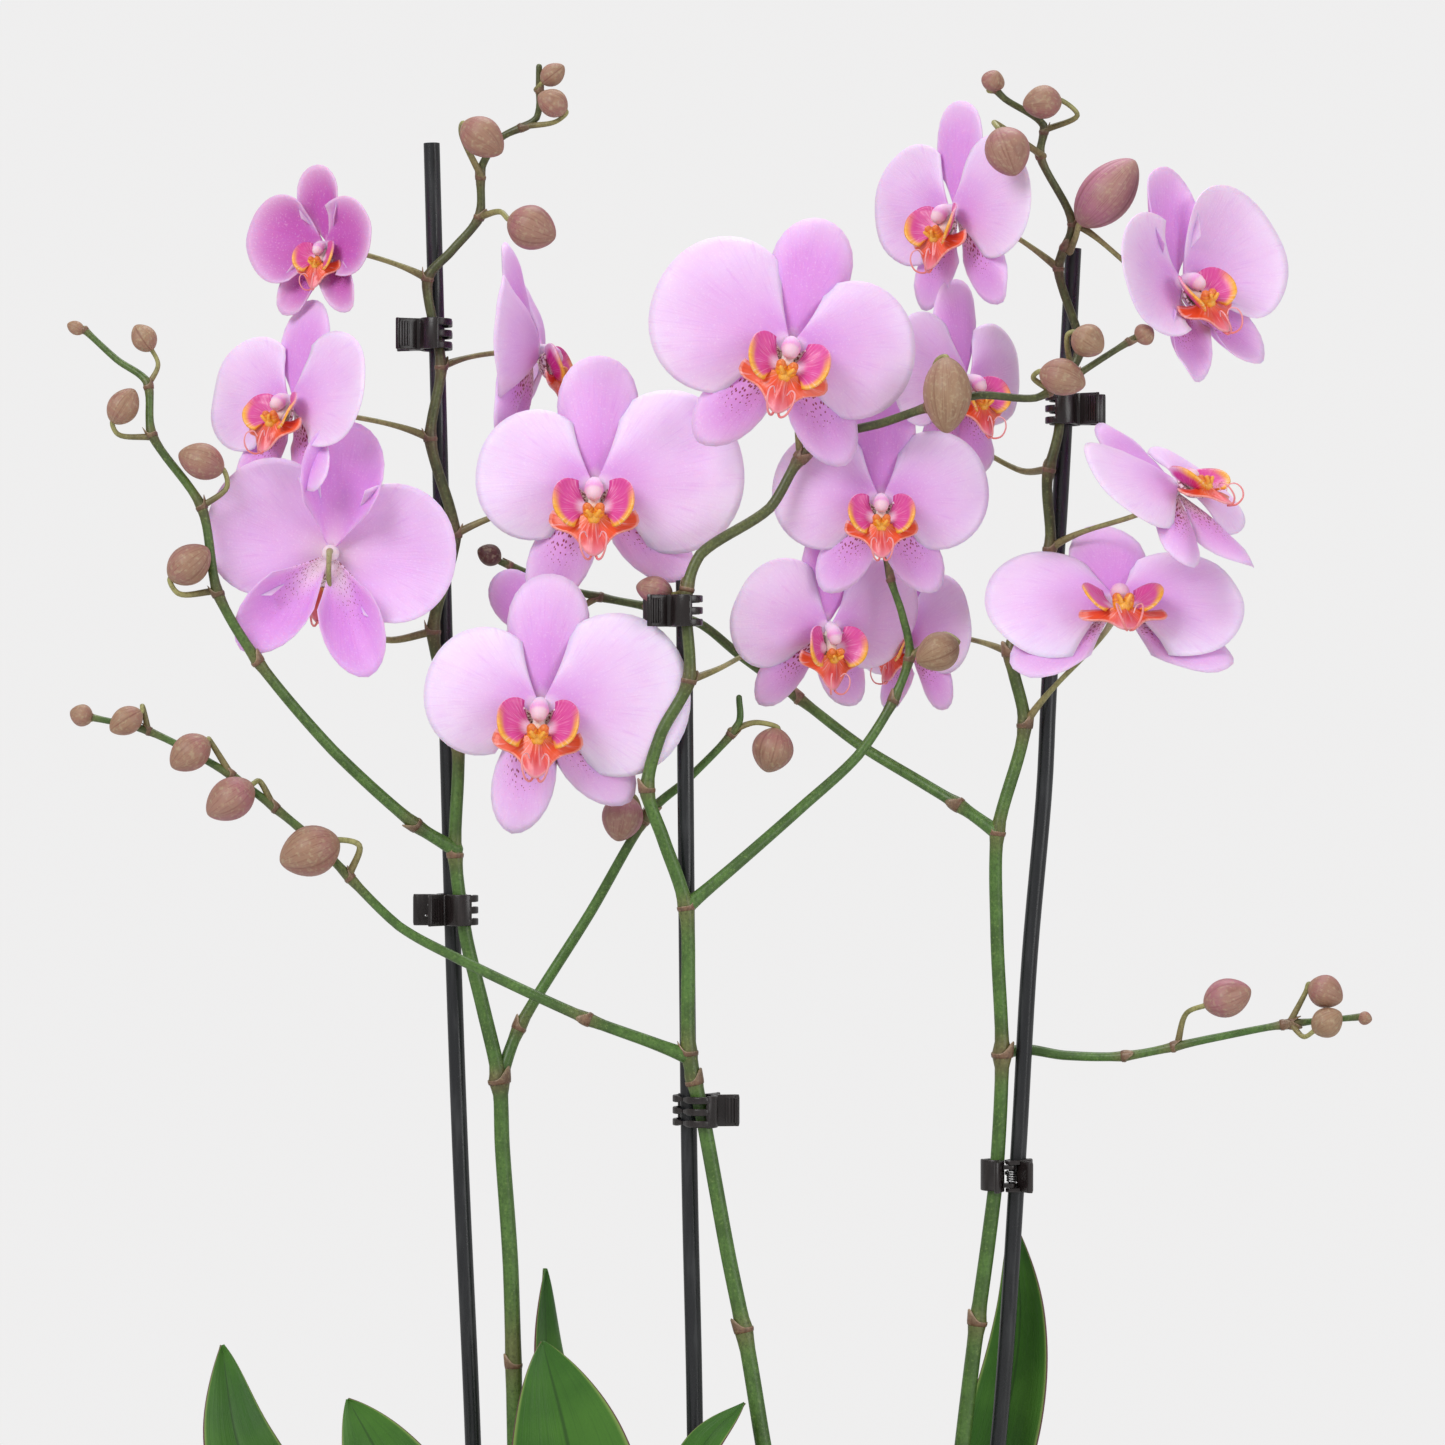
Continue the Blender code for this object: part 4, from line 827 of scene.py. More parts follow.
def side_lobe(shape, matrix, hand, seed):
    """A lobe beside the throat, standing out to the side and forwards, with its hollow face inwards."""
    u, v, angle, radius = fan(16, 21, 0, 58, 1.0, 15.5, 0.3, 2.4, 0.7)
    local = np.stack([radius * np.sin(angle), -3.4 * v**2 * (1 - 0.5 * u**2), radius * np.cos(angle)], -1)
    local[..., 1] += ripple(seed, u, v, 2.0) * 1.4 * v**2
    up = Vector((0.86, -0.3, 0.2)).normalized()
    out = Vector((0.1, -0.45, -0.9))
    out = (out - up * out.dot(up)).normalized()
    normal = up.cross(out)
    turn = np.array([out, normal, up])
    local = local @ turn + np.array([1.6, -6.5, -8.6])
    local[..., 0] *= hand
    rim = np.maximum(ramp(v, 0.76, 0.94), ramp(np.abs(u), 0.86, 1.0) * ramp(v, 0.5, 0.8))
    lower = ramp(u, -0.45, 0.3)
    paint = mix(CREAM, MAGENTA, ramp(v, 0.16, 0.42))
    paint = mix(paint, (0.93, 0.68, 0.84), ramp(u, -0.5, -0.95) * ramp(v, 0.3, 0.6) * 0.7)
    paint = mix(paint, RIM_YELLOW, rim * lower)
    paint = mix(paint, (0.93, 0.7, 0.84), rim * (1 - lower) * 0.8)
    paint = mix(paint, RIM_YELLOW, ramp(v, 0.6, 0.95) * ramp(u, 0.35, 0.9) * 0.8)
    barred = ramp(v, 0.5, 0.3) * ramp(v, 0.05, 0.15)
    pattern = np.stack([u, v, barred], -1)
    outer = mix((0.9, 0.62, 0.82), MAGENTA, ramp(v, 0.12, 0.42) * 0.92)
    outer = mix(outer, RIM_YELLOW, rim * lower)
    plain = np.stack([u, v, np.zeros_like(u)], -1)
    inside, outside = ((paint, pattern), (outer, plain))
    if hand < 0:
        inside, outside = outside, inside
    shape.sheet(placed(local, matrix), 0.8 * MM, *outside, *inside)


def middle_lobe(shape, matrix, seed):
    """The lip's trowel-shaped middle lobe, with a corner on each side, a keel and a blunt tip."""
    u, v, angle, radius = fan(14, 33, 180, 84, 1.0, 1.0, 0.0, 1.0, 0.8)
    tip = 4.6 * np.exp(-((u / 0.24) ** 2))
    corner = 5.4 * np.exp(-(((np.abs(u) - 0.86) / 0.2) ** 2))
    outline = 11.6 + tip + corner
    radius = 1.0 + (outline - 1.0) * v
    depth = -10.2 - 3.4 * v + 6.5 * np.abs(u) ** 1.6 * v - 1.8 * np.exp(-((u / 0.12) ** 2)) * (1 - 0.4 * v)
    depth += ripple(seed, u, v, 2.0) * 1.2 * v
    local = flat(angle, radius, depth)
    local[..., 2] -= 9.6
    local[..., 2] += 2.2 * np.abs(u) ** 3 * v**2
    paint = mix(LIP_ORANGE, LIP_RED, ramp(np.abs(u), 0.5, 0.05) * 0.8)
    paint = mix(paint, (0.85, 0.3, 0.42), ramp(v, 0.55, 1) * ramp(np.abs(u), 0.35, 0.0) * 0.7)
    paint = mix(paint, RIM_YELLOW, ramp(v, 0.5, 0.0) * 0.45)
    paint = mix(paint, (0.93, 0.72, 0.7), ramp(v, 0.95, 1) * 0.35)
    pattern = np.stack([u * 0.8, v, np.zeros_like(u)], -1)
    shape.sheet(placed(local, matrix), (1.3 - 0.6 * v) * MM, paint, pattern)


def cirri(shape, matrix):
    """The two tendrils that curl up from the tip of the lip."""
    scale = matrix.to_scale().x
    for hand in (-1, 1):
        route = [(0.6, -13.4, -25), (1.6, -16, -26.8), (3.2, -19.5, -26), (4.6, -21, -22), (4.6, -20, -18.2),
                 (3.2, -17.6, -17), (2.2, -16, -18.8)]
        line, share = curve(mirrored(route, hand), 6)
        paint = mix((0.82, 0.16, 0.14), (0.88, 0.45, 0.5), share)
        tube(shape, placed(line, matrix), (0.5 - 0.28 * share) * MM * scale, paint, 8)


def throat(shape, matrix, seed):
    """The pale, dark-barred hollow that joins the two side lobes behind the column."""
    u, v, angle, radius = fan(8, 21, 180, 128, 0.6, 7.6, 0.1, 2.0, 1.0)
    depth = -2.2 - 4.2 * v**2 + ripple(seed, u, v) * 0.5
    local = flat(angle, radius, depth)
    local[..., 2] -= 5.0
    paint = mix(CREAM, (0.9, 0.62, 0.8), ramp(v, 0.6, 1.0) * 0.6)
    pattern = np.stack([u * 1.4, v, 0.9 * ramp(v, 0.05, 0.3)], -1)
    shape.sheet(placed(local, matrix), 0.7 * MM, paint, pattern)


def callus(shape, matrix):
    """The yellow bumps in the lip's throat, and the claw that carries the lip."""
    scale = matrix.to_scale().x
    for hand in (-1, 1):
        line, share = curve(mirrored([(1.2, -8.5, -11), (1.6, -11, -10), (2.3, -12.8, -8.2)], hand), 5)
        paint = mix(CALLUS_YELLOW, (0.7, 0.1, 0.02), ramp(np.sin(share * 26), 0.2, 0.9) * 0.8)
        tube(shape, placed(line, matrix), (1.7 + 0.5 * np.sin(share * 3)) * MM * scale, paint, 12)
        line, share = curve(mirrored([(0.9, -12, -11.6), (1.3, -14, -10.8), (2.2, -15.2, -9.6)], hand), 5)
        tube(shape, placed(line, matrix), (1.0 - 0.3 * share) * MM * scale, RIM_YELLOW, 10)
    line, share = curve([(0, -1.5, -1.5), (0, -5, -6), (0, -9, -10), (0, -11.5, -12)], 6)
    paint = mix(CREAM, RIM_YELLOW, ramp(share, 0.4, 0.9))
    tube(shape, placed(line, matrix), 2.3 * MM * scale, paint, 12)


def bloom(name, seed):
    """One flower: three sepals behind, two broad petals in front, the column, and a separate lip."""
    _, _, centre, turn, size, closing = FLOWERS[name]
    (left, right), sepals, tone = BLOOM_HABITS.get(name, USUAL_HABIT)
    bend = 0.12 - closing
    matrix = Matrix.Translation(place(centre)) @ facing(turn).to_4x4() @ Matrix.Scale(size, 4)
    shape = Shape()
    tepal(shape, matrix, seed, "dorsal", 2, DORSAL_REACH, bend, tone)
    for direction, side in zip(sepals, (-1, 1)):
        tepal(shape, matrix, seed + side, "lateral", direction, LATERAL_REACH, bend, tone)
    tepal(shape, matrix, seed + 3, "petal", -79, PETAL_REACH * left, bend, tone)
    tepal(shape, matrix, seed + 4, "petal", 79, PETAL_REACH * right, bend, tone)
    column(shape, matrix)
    hub, _ = spline([(0, 3.4, 0), (0, 1, 0), (0, -1, 0)], 4)
    tube(shape, placed(hub, matrix), 3.0 * MM * size, mix((0.8, 0.74, 0.6), (0.88, 0.7, 0.85), 0.5), 16)
    shape.build(f"{name}_tepals", [PETAL], replaced=[name])
    lip = Shape()
    for hand in (-1, 1):
        side_lobe(lip, matrix, hand, seed)
    middle_lobe(lip, matrix, seed)
    throat(lip, matrix, seed)
    cirri(lip, matrix)
    callus(lip, matrix)
    lip.build(f"{name}_lip", [LIP])


# ---- Spikes ----------------------------------------------------------------------------------


def stalk_line(name):
    """A flower's stalk, from its stem round to the flower's back."""
    _, start, centre, turn, size, _ = FLOWERS[name]
    back = facing(turn) @ Vector((0, 1, 0))
    end = place(centre) + back * (2.5 * MM * size)
    points = [place(point) for point in start]
    reach = (end - points[0]).length
    if len(points) > 1:
        return spline([*points, end + back * 5 * MM, end], 8)[0]
    lift = Vector((0, 0, 0.08 * reach))
    a, b, c = points[0], points[0].lerp(end, 0.3) + lift, end + back * 0.3 * reach
    route = []
    for i in range(25):
        t = i / 24
        s = 1 - t
        route.append(a * s**3 + b * 3 * s * s * t + c * 3 * s * t * t + end * t**3)
    return np.array([tuple(point) for point in route])


def bract(shape, at, along, side, radius, size=1.0):
    """A dry bract that wraps a node, with a pointed flap on one side."""
    side = side - along * side.dot(along)
    side /= np.linalg.norm(side)
    other = np.cross(along, side)
    angles = around(20)
    flap = np.maximum(np.cos(angles), 0) ** 3
    top = (0.5 + 4.0 * flap) * MM * size
    flare = (0.22 + 0.35 * flap) * MM * size
    rows = [
        (radius - 0.5 * MM, -1.3 * MM + 0 * top), (radius + 0.08 * MM, -1.1 * MM + 0 * top),
        (radius + 0.26 * MM, 0 * top), (radius + flare * 0.8, top * 0.6), (radius + flare, top),
        (radius + flare - 0.25 * MM, top - 0.05 * MM), (radius - 0.4 * MM, top * 0.3),
    ]
    places = []
    for reach, height in rows:
        across = np.cos(angles)[:, None] * side + np.sin(angles)[:, None] * other
        reach = np.broadcast_to(reach, angles.shape)[:, None]
        places.append(at + across * reach + along * height[:, None])
    paint = np.array([BRACT, BRACT, BRACT, mix(BRACT, BRACT_EDGE, 0.35), BRACT_EDGE, BRACT_EDGE, BRACT])
    numbers = shape.points(np.array(places), paint[:, None], 0.0)
    closed = np.concatenate([numbers, numbers[:1]], 0)
    shape.quads(np.concatenate([closed, closed[:, :1]], 1))


def bud(shape, base, tip, width, pink, seed):
    """A closed bud: three sepals meeting at seams, fuller below its middle, with painted light on one side.
    """
    base, tip = np.array(base), np.array(tip)
    axis = tip - base
    length = np.linalg.norm(axis)
    rows, columns = 22, 36
    t = (1 - np.cos(np.linspace(0.04, math.pi - 0.02, rows))) / 2
    line = base + axis * t[:, None]
    _, side, other = frames(line, (0.4, -1, 0.15))
    angles = around(columns)
    radius = width * MM / 2 * np.sin(math.pi * t**0.92) ** 0.58
    turn = (angles + seed) % (2 * math.pi / 3) / (2 * math.pi / 3)
    seam = np.abs(turn - 0.5) * -2 + 1
    groove = 1 - 0.045 * np.exp(-((seam / 0.13) ** 2))[None] * np.sin(math.pi * t)[:, None] ** 0.5
    keel = 1 + 0.035 * np.exp(-(((1 - seam) / 0.3) ** 2))[None]
    across = np.cos(angles)[None, :, None] * side[:, None] + np.sin(angles)[None, :, None] * other[:, None]
    belly = side * (0.04 * length * np.sin(math.pi * t))[:, None]
    places = (line + belly)[:, None] + across * (radius[:, None] * groove * keel)[..., None]
    body = mix(BUD_GREEN, BUD_MAUVE, min(pink * 1.6, 1)) if pink >= 0 else np.array(BUD_DARK)
    body = mix(body, BUD_PINK, max(0, pink - 0.5) * 0.9)
    paint = mix(body, BUD_GREEN, ramp(t, 0.25, 0.0) * 0.6)[:, None] * np.ones((1, columns, 1))
    # Painted light: one side of each pink or green bud is lightened towards tan to stand for its sunlit side;
    # dark brown buds get none
    painted_sunlit_side = ramp(np.cos(angles - 0.4), 0.1, 0.8)[None] * ramp(t, 0.15, 0.5)[:, None]
    paint = mix(paint, BUD_GREEN, painted_sunlit_side * (0.6 if pink >= 0 else 0))
    pattern = np.zeros((rows, columns, 3))
    pattern[..., 0] = seam[None]
    pattern[..., 1] = t[:, None]
    pattern[..., 2] = np.abs(np.sin(angles / 2 + seed))[None] * 2
    shape.ring_grid(places, paint, pattern, kind=1)


def swollen(line, shares, radii, nodes):
    """Radii with a soft swelling at each node."""
    run = lengths(line)
    out = radii.copy()
    for node in nodes:
        at = np.interp(node, shares, run)
        out += 0.26 * np.interp(at, run, radii) * np.exp(-(((run - at) / (3.2 * MM)) ** 2))
    return out


def nearest_share(line, shares, point):
    """How far along the route the place nearest to a point is."""
    return shares[np.argmin(np.linalg.norm(line - np.array(point), axis=1))]


def stem_paint(line, top_olive):
    """Green below, turning olive and brown with height where the stem does."""
    height = (line[:, 2] - BARK_TOP) / MM
    paint = mix(GREEN, OLIVE, ramp(height, 330, 430) * top_olive)
    return mix(paint, DARK_OLIVE, ramp(height, 400, 470) * top_olive * 0.55)


def spike(name, seed):
    """One flower spike: main stem, branches, bracts, flower stalks and buds, grown as one piece."""
    shape = Shape()
    origins = [stalk_line(flower)[:2] for flower in FLOWERS if FLOWERS[flower][0] == name]
    starts = [(np.array(first), np.array(second)) for first, second in origins]
    for stalk, base, *_ in BUDS[name]:
        points = [np.array(place(point)) for point in [*stalk, base]]
        starts.append((points[0], points[1]))
    starts += [(np.array(place(route[0])), np.array(place(route[1]))) for route in BRANCHES[name]]
    routes = [(STEMS[name], STEM_RADIUS, 1.0)]
    routes += [(route, BRANCH_RADIUS, olive) for route, olive in zip(BRANCHES[name], BRANCH_OLIVE[name])]
    for number, (route, foot_radius, olive) in enumerate(routes):
        line, shares = spline([place(point) for point in route], 9, 0.75)
        radii = foot_radius + (STEM_TIP_RADIUS - foot_radius) * shares / shares.max()
        if number:
            radii = radii + 0.7 * MM * np.exp(-lengths(line) / (5 * MM))
        nodes = []
        for start, towards in starts:
            if np.linalg.norm(line - start, axis=1).min() < 3 * MM:
                share = nearest_share(line, shares, start)
                if number == 0 or share > 0.3:
                    nodes.append((share, towards - start))
        plain = PLAIN_NODES[name][number]
        for k, share in enumerate(plain):
            nodes.append((share, np.array((1 if k % 2 else -1, -0.5, 0.2))))
        radii = swollen(line, shares, radii, [share for share, _ in nodes])
        paint = stem_paint(line, olive)
        for share, _ in nodes:
            near = np.exp(-(((shares - share) / 0.16) ** 2))
            paint = mix(paint, BRACT, near * 0.45)
        tube(shape, line, radii, paint, 14)
        along, _, _ = frames(line)
        for share, towards in nodes:
            i = int(np.argmin(np.abs(shares - share)))
            size = 0.55 + 0.45 * radii[i] / STEM_RADIUS
            bract(shape, line[i], along[i], towards, radii[i], size)
    for flower in FLOWERS:
        if FLOWERS[flower][0] == name:
            line = stalk_line(flower)
            share = np.linspace(0, 1, len(line))
            paint = mix(mix(STALK_FOOT, STALK_GREEN, ramp(share, 0, 0.4)), STALK_PALE, ramp(share, 0.6, 1))
            radii = STALK_RADIUS * (1.25 - 0.45 * ramp(share, 0, 0.35) + 0.5 * ramp(share, 0.7, 1))
            tube(shape, line, radii, paint, 10)
    for i, (stalk, base, tip, width, pink) in enumerate(BUDS[name]):
        base, tip = place(base), place(tip)
        inner = base + (tip - base).normalized() * 1.5 * MM
        line, share = curve([*[place(point) for point in stalk], base, inner], 8)
        paint = mix(STALK_FOOT, STALK_GREEN, ramp(share, 0, 0.5))
        radii = (0.75 + 0.03 * width) * MM * (1.15 - 0.35 * np.sin(math.pi * share))
        tube(shape, line, radii, paint, 10)
        bud(shape, base, tip, width, pink, seed + 1.7 * i)
    shape.build(f"{name}_flower_spike", [STEM_SKIN, BUD_SKIN], replaced=[f"{name}_spike"])


# ---- Leaves, crowns and roots ----------------------------------------------------------------


def leaf(name, seed):
    """A thick strap leaf, channelled along its midrib, with a rounded margin and a pointed tip."""
    _, route, width, face = LEAVES[name]
    line, _ = spline([place(point) for point in route], 12)
    count, columns = 54, 29
    done = 1 - (1 - np.linspace(0, 1, count)) ** 1.35
    line = spaced(line, done)
    forward = units(np.gradient(line, axis=0))
    side = units(np.cross(forward, np.array(Vector(face).normalized())))
    normal = np.cross(side, forward)
    half = width * MM / 2 * (0.34 + 0.66 * np.sin(math.pi * np.minimum(done / 0.62, 1) / 2))
    half *= np.maximum(1 - (np.maximum(done - 0.5, 0) / 0.502) ** 2.0, 0) ** 0.82
    u = np.linspace(-1, 1, columns)
    u = np.sign(u) * (1 - (1 - np.abs(u)) ** 1.25)
    fold = 0.3 * (1 - 0.55 * done)
    lift = np.sqrt(u[None] ** 2 + 0.012) - math.sqrt(0.012)
    wave = np.array([[noise.noise(Vector((a * 0.9, b * 4.5, seed))) for a in u] for b in done]) * 1.6 * MM
    middle = line[:, None] + side[:, None] * (u[None] * half[:, None])[..., None]
    middle = middle + normal[:, None] * (lift * half[:, None] * fold[:, None] + wave)[..., None]
    margin = np.abs(u[None]) ** 5 * np.ones((count, 1))
    thickness = (2.1 - 1.5 * margin) * MM * (1 - 0.55 * ramp(done, 0.8, 1.0))[:, None]
    pattern = np.zeros((count, columns, 3))
    pattern[..., 0] = u[None]
    pattern[..., 1] = done[:, None] * 3
    top, under = pattern.copy(), pattern.copy()
    top[..., 2], under[..., 2] = -1, 1
    shape = Shape()
    shape.sheet(middle, thickness, 0.0, top, None, under)
    shape.build(f"{name}_blade", [LEAF], replaced=[name])


def crown(name, rng):
    """The short stem wrapped in leaf sheaths, and its aerial roots."""
    x, y = CROWNS[name]
    shape = Shape()
    heights = np.linspace(-20, 45, 27)
    line = np.array([tuple(place((x, y, height))) for height in heights])
    steps = (heights + 20) / 13 % 1
    radii = (11.4 - 0.055 * (heights + 20) + 0.9 * steps) * MM
    dry = ramp(heights, 14, 0)
    paint = mix((0.13, 0.2, 0.06), (0.24, 0.15, 0.08), dry)
    paint = mix(paint, (0.32, 0.24, 0.14), steps**4 * 0.6)
    tube(shape, line, radii, paint, 28)
    for k in range(6):
        turn = 2 * math.pi * (k + rng.random() * 0.6) / 6
        out = Vector((math.cos(turn), math.sin(turn), 0))
        start = place((x, y, 4 + 14 * rng.random()))
        reach = (26 + 16 * rng.random()) * MM
        sway = Vector((-out.y, out.x, 0)) * (rng.random() - 0.5) * 22 * MM
        hump = 0.008 + 0.01 * rng.random()
        route = [start + out * 8 * MM, start + out * reach * 0.55 + Vector((0, 0, hump * 0.5)) + sway * 0.3]
        floor = Vector((start.x, start.y, BARK_TOP))
        route += [
            floor + out * reach + sway * 0.7 + Vector((0, 0, 0.004)),
            floor + out * reach * 1.3 + sway - Vector((0, 0, 0.006)),
        ]
        line, share = curve(route, 8)
        colour = mix((0.33, 0.36, 0.26), (0.5, 0.5, 0.42), share)
        tube(shape, line, (2.1 + 0.25 * np.sin(share * 9 + k)) * MM, colour, 12, 1)
    shape.build(f"{name}_stem_base", [SHEATH, ROOT_SKIN], replaced=[f"{name}_crown"])


# ---- Planter, bark and stakes ----------------------------------------------------------------


def planter():
    """The round planter: tapered wall, rolled rim and a small foot."""
    top = PLANTER_HIGH.z
    outer = PLANTER_HIGH.x
    base = 92 * MM
    lean = (outer - 3 * MM - base) / (top - 17 * MM)
    profile = [(2 * MM, 0.0), (base - 5 * MM, 0.0), (base - 2.6 * MM, 0.6 * MM), (base - 0.6 * MM, 2.4 * MM),
               (base, 5 * MM)]
    for i in range(1, 25):
        height = 5 * MM + (top - 24 * MM) * i / 24
        profile.append((base + lean * (height - 5 * MM) + 0.25 * MM * math.sin(i * 2.1), height))
    under = profile[-1][0]
    profile += [(under + 0.4 * MM, top - 17.5 * MM), (outer - 1.2 * MM, top - 15 * MM),
                (outer - 0.2 * MM, top - 13 * MM)]
    for i in range(9):
        a = math.pi * i / 8
        profile.append((outer - 4.5 * MM + 4.5 * MM * math.cos(a), top - 4.5 * MM + 4.5 * MM * math.sin(a)))
    profile += [(outer - 9 * MM, top - 12 * MM), (outer - 9.6 * MM, top - 20 * MM), (base - 4 * MM, 12 * MM),
                (base - 10 * MM, 8 * MM), (2 * MM, 8 * MM)]
    foot = [height < 1 * MM for _, height in profile]
    rim = [height > top - 2.5 * MM for _, height in profile]
    sides = 144
    ring = np.stack([np.cos(around(sides)), np.sin(around(sides))], -1)
    places = np.array([[(*(radius * spoke), height) for spoke in ring] for radius, height in profile])
    pattern = np.zeros((len(profile), sides, 3))
    pattern[..., 0] = np.where(foot, 1.0, np.where(rim, 0.35, 0.0))[:, None]
    shape = Shape()
    shape.ring_grid(places, 0.0, pattern)
    shape.build("planter_glazed", [glaze_material()], replaced=["planter"])


def bark_chips(rng):
    """Loose chips of bark over the potting mix, clear of the plants and stakes."""
    chips = bmesh.new()
    paint_layer = chips.verts.layers.float_color.new("paint")
    keep_out = [(x, y, 15) for x, y in CROWNS.values()]
    keep_out += [(route[0][0], route[0][1], 7) for route in STAKES.values()]
    tones = [
        (0.2, 0.095, 0.045), (0.13, 0.06, 0.03), (0.3, 0.16, 0.08), (0.08, 0.04, 0.022), (0.24, 0.13, 0.075),
    ]
    made = 0
    while made < CHIP_COUNT:
        reach = (BARK_REACH - 8) * math.sqrt(rng.random())
        turn = 2 * math.pi * rng.random()
        x, y = reach * math.cos(turn), reach * math.sin(turn)
        length, width, depth = 9 + 13 * rng.random(), 6 + 8 * rng.random(), 3 + 4.5 * rng.random()
        too_near = any(math.hypot(x - a, y - b) < gap + length * 0.4 for a, b, gap in keep_out)
        if too_near or reach + length / 2 > BARK_REACH:
            continue
        corners = []
        for _ in range(16):
            corner = Vector([rng.uniform(-1, 1) for _ in range(3)])
            corner /= max(abs(c) for c in corner) ** 0.8
            corners.append(Vector((corner.x * length / 2, corner.y * width / 2, corner.z * depth / 2)) * MM)
        chip = bmesh.new()
        for corner in corners:
            chip.verts.new(corner)
        hull = bmesh.ops.convex_hull(chip, input=chip.verts)
        inside = [v for v in hull["geom_interior"] if isinstance(v, bmesh.types.BMVert)]
        bmesh.ops.delete(chip, geom=inside, context="VERTS")
        bmesh.ops.bevel(
            chip, geom=chip.edges[:], offset=0.5 * MM, segments=1, affect="EDGES", clamp_overlap=True
        )
        sunk = -5 * ramp(reach, 92, 110) * MM
        layer = rng.random()
        tilt = Matrix.Rotation(rng.uniform(-0.5, 0.5) * layer, 4, "X")
        tilt = tilt @ Matrix.Rotation(rng.uniform(-0.4, 0.4) * layer, 4, "Y")
        spin = Matrix.Rotation(rng.random() * 2 * math.pi, 4, "Z")
        where = Matrix.Translation((x * MM, y * MM, BARK_TOP + sunk + (depth * 0.15 + 3.6 * layer) * MM))
        bmesh.ops.transform(chip, matrix=where @ spin @ tilt, verts=chip.verts)
        tone = np.array(rng.choice(tones)) * rng.uniform(0.75, 1.25)
        mesh = bpy.data.meshes.new("chip")
        chip.to_mesh(mesh)
        chip.free()
        first = len(chips.verts)
        chips.from_mesh(mesh)
        bpy.data.meshes.remove(mesh)
        chips.verts.ensure_lookup_table()
        for vert in chips.verts[first:]:
            vert[paint_layer] = (*tone, 1)
        made += 1
    mesh = bpy.data.meshes.new("bark_chips")
    bmesh.ops.recalc_face_normals(chips, faces=chips.faces)
    chips.to_mesh(mesh)
    chips.free()
    finish_piece("bark_chips", mesh, [CHIP_BARK], sharp=35)


def stake(name):
    """A glossy stake with fine ribs along it."""
    route = [place(point) for point in STAKES[name]]
    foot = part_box(f"{name}_stake")[0].z + STAKE_RADIUS * 0.6
    route[0] = Vector((route[0].x, route[0].y, foot))
    route.insert(1, place(STAKES[name][0]) + Vector((0, 0, 10 * MM)))
    line = spaced(spline(route, 8)[0], np.linspace(0, 1, 70))
    shape = Shape()
    tube(shape, line, STAKE_RADIUS * 0.985, 0.0, 48, flutes=5, flute_depth=0.012, round_ends=False)
    shape.build(f"{name}_ribbed_stake", [STAKE_PLASTIC], replaced=[f"{name}_stake"], sharp=50)


# ---- Clips -----------------------------------------------------------------------------------


def route_at(route, height):
    """The point of a route at a height, in the route's own millimetres."""
    for low, high in zip(route, route[1:]):
        if low[2] <= height <= high[2]:
            return Vector(low).lerp(Vector(high), (height - low[2]) / (high[2] - low[2]))
    return Vector(route[-1])


def clip_frame(name):
    """Where a clip stands, with its x towards the tabs and its y from the stake to the stem."""
    plant, height, tab_side = CLIPS[name]
    stem = place(route_at(STEMS[plant], height))
    post = place(route_at(STAKES[plant], height))
    across = (stem - post).normalized()
    out = Vector((across.y, -across.x, 0))
    if out.x * tab_side[0] + out.y * tab_side[1] < 0:
        out.negate()
    frame_of_clip = Matrix((out, across, Vector((0, 0, 1)))).transposed().to_4x4()
    return Matrix.Translation((stem + post) / 2) @ frame_of_clip, (stem - post).length


def strip(shape, path, thickness, low, high, matrix, taper=0.0):
    """A rounded strap that stands on edge along a flat path, from one height to another."""
    path = np.array(path, float)
    run = lengths(path)
    along = units(np.gradient(path, axis=0))
    across = np.stack([-along[:, 1], along[:, 0]], -1)
    rounding = min(thickness, high - low) * 0.28
    corners = []
    for cx, cz, start in ((1, 1, 0), (-1, 1, 90), (-1, -1, 180), (1, -1, 270)):
        for a in np.radians([start, start + 30, start + 60, start + 90]):
            corners.append((cx * (thickness / 2 - rounding) + rounding * math.cos(a),
                            cz * ((high - low) / 2 - rounding) + rounding * math.sin(a)))
    rows = []
    for point, direction, done in zip(path, across, run / run[-1]):
        shrink = 1 - taper * ramp(done, 0.7, 1.0)
        rows.append([(*(point + direction * a * shrink), (low + high) / 2 + b * shrink) for a, b in corners])
    places = np.array(rows)
    ends = []
    for row, other in ((places[0], places[1]), (places[-1], places[-2])):
        middle = row.mean(0)
        push = middle - other.mean(0)
        push *= rounding / max(np.linalg.norm(push), 1e-9)
        ends.append(middle + (row - middle) * 0.86 + push * 0.6)
    places = np.concatenate([[ends[0]], places, [ends[1]]])
    shape.ring_grid(placed(places / MM, matrix))


def wrap(spread, offset, steps, end):
    """Half the way round stake and stem at an offset from them: up, round the stem and down."""
    points = [(offset, spread / 2 * k / 4) for k in range(1, 4)]
    points += [(offset * math.cos(math.pi * i / steps), spread / 2 + offset * math.sin(math.pi * i / steps))
               for i in range(steps + 1)]
    return points + [(-offset, spread / 2 * (1 - k / 4)) for k in range(1, 4)] + [(-offset, end)]


def bevelled(shape, outline, low, high, bevel, matrix):
    """A flat outline raised from one height to another, with eased edges."""
    outline = np.array(outline)
    middle = outline.mean(0)
    size = np.abs(outline - middle).max()
    inner = middle + (outline - middle) * (1 - bevel / size)
    rows = [(inner, low), (outline, low + bevel), (outline, high - bevel), (inner, high)]
    places = np.array([[(*point, height) for point in points] for points, height in rows])
    shape.ring_grid(placed(places / MM, matrix))


def handed(path, hand):
    """A path of one jaw, or its mirror image for the other."""
    return [(x, hand * y) for x, y in path]


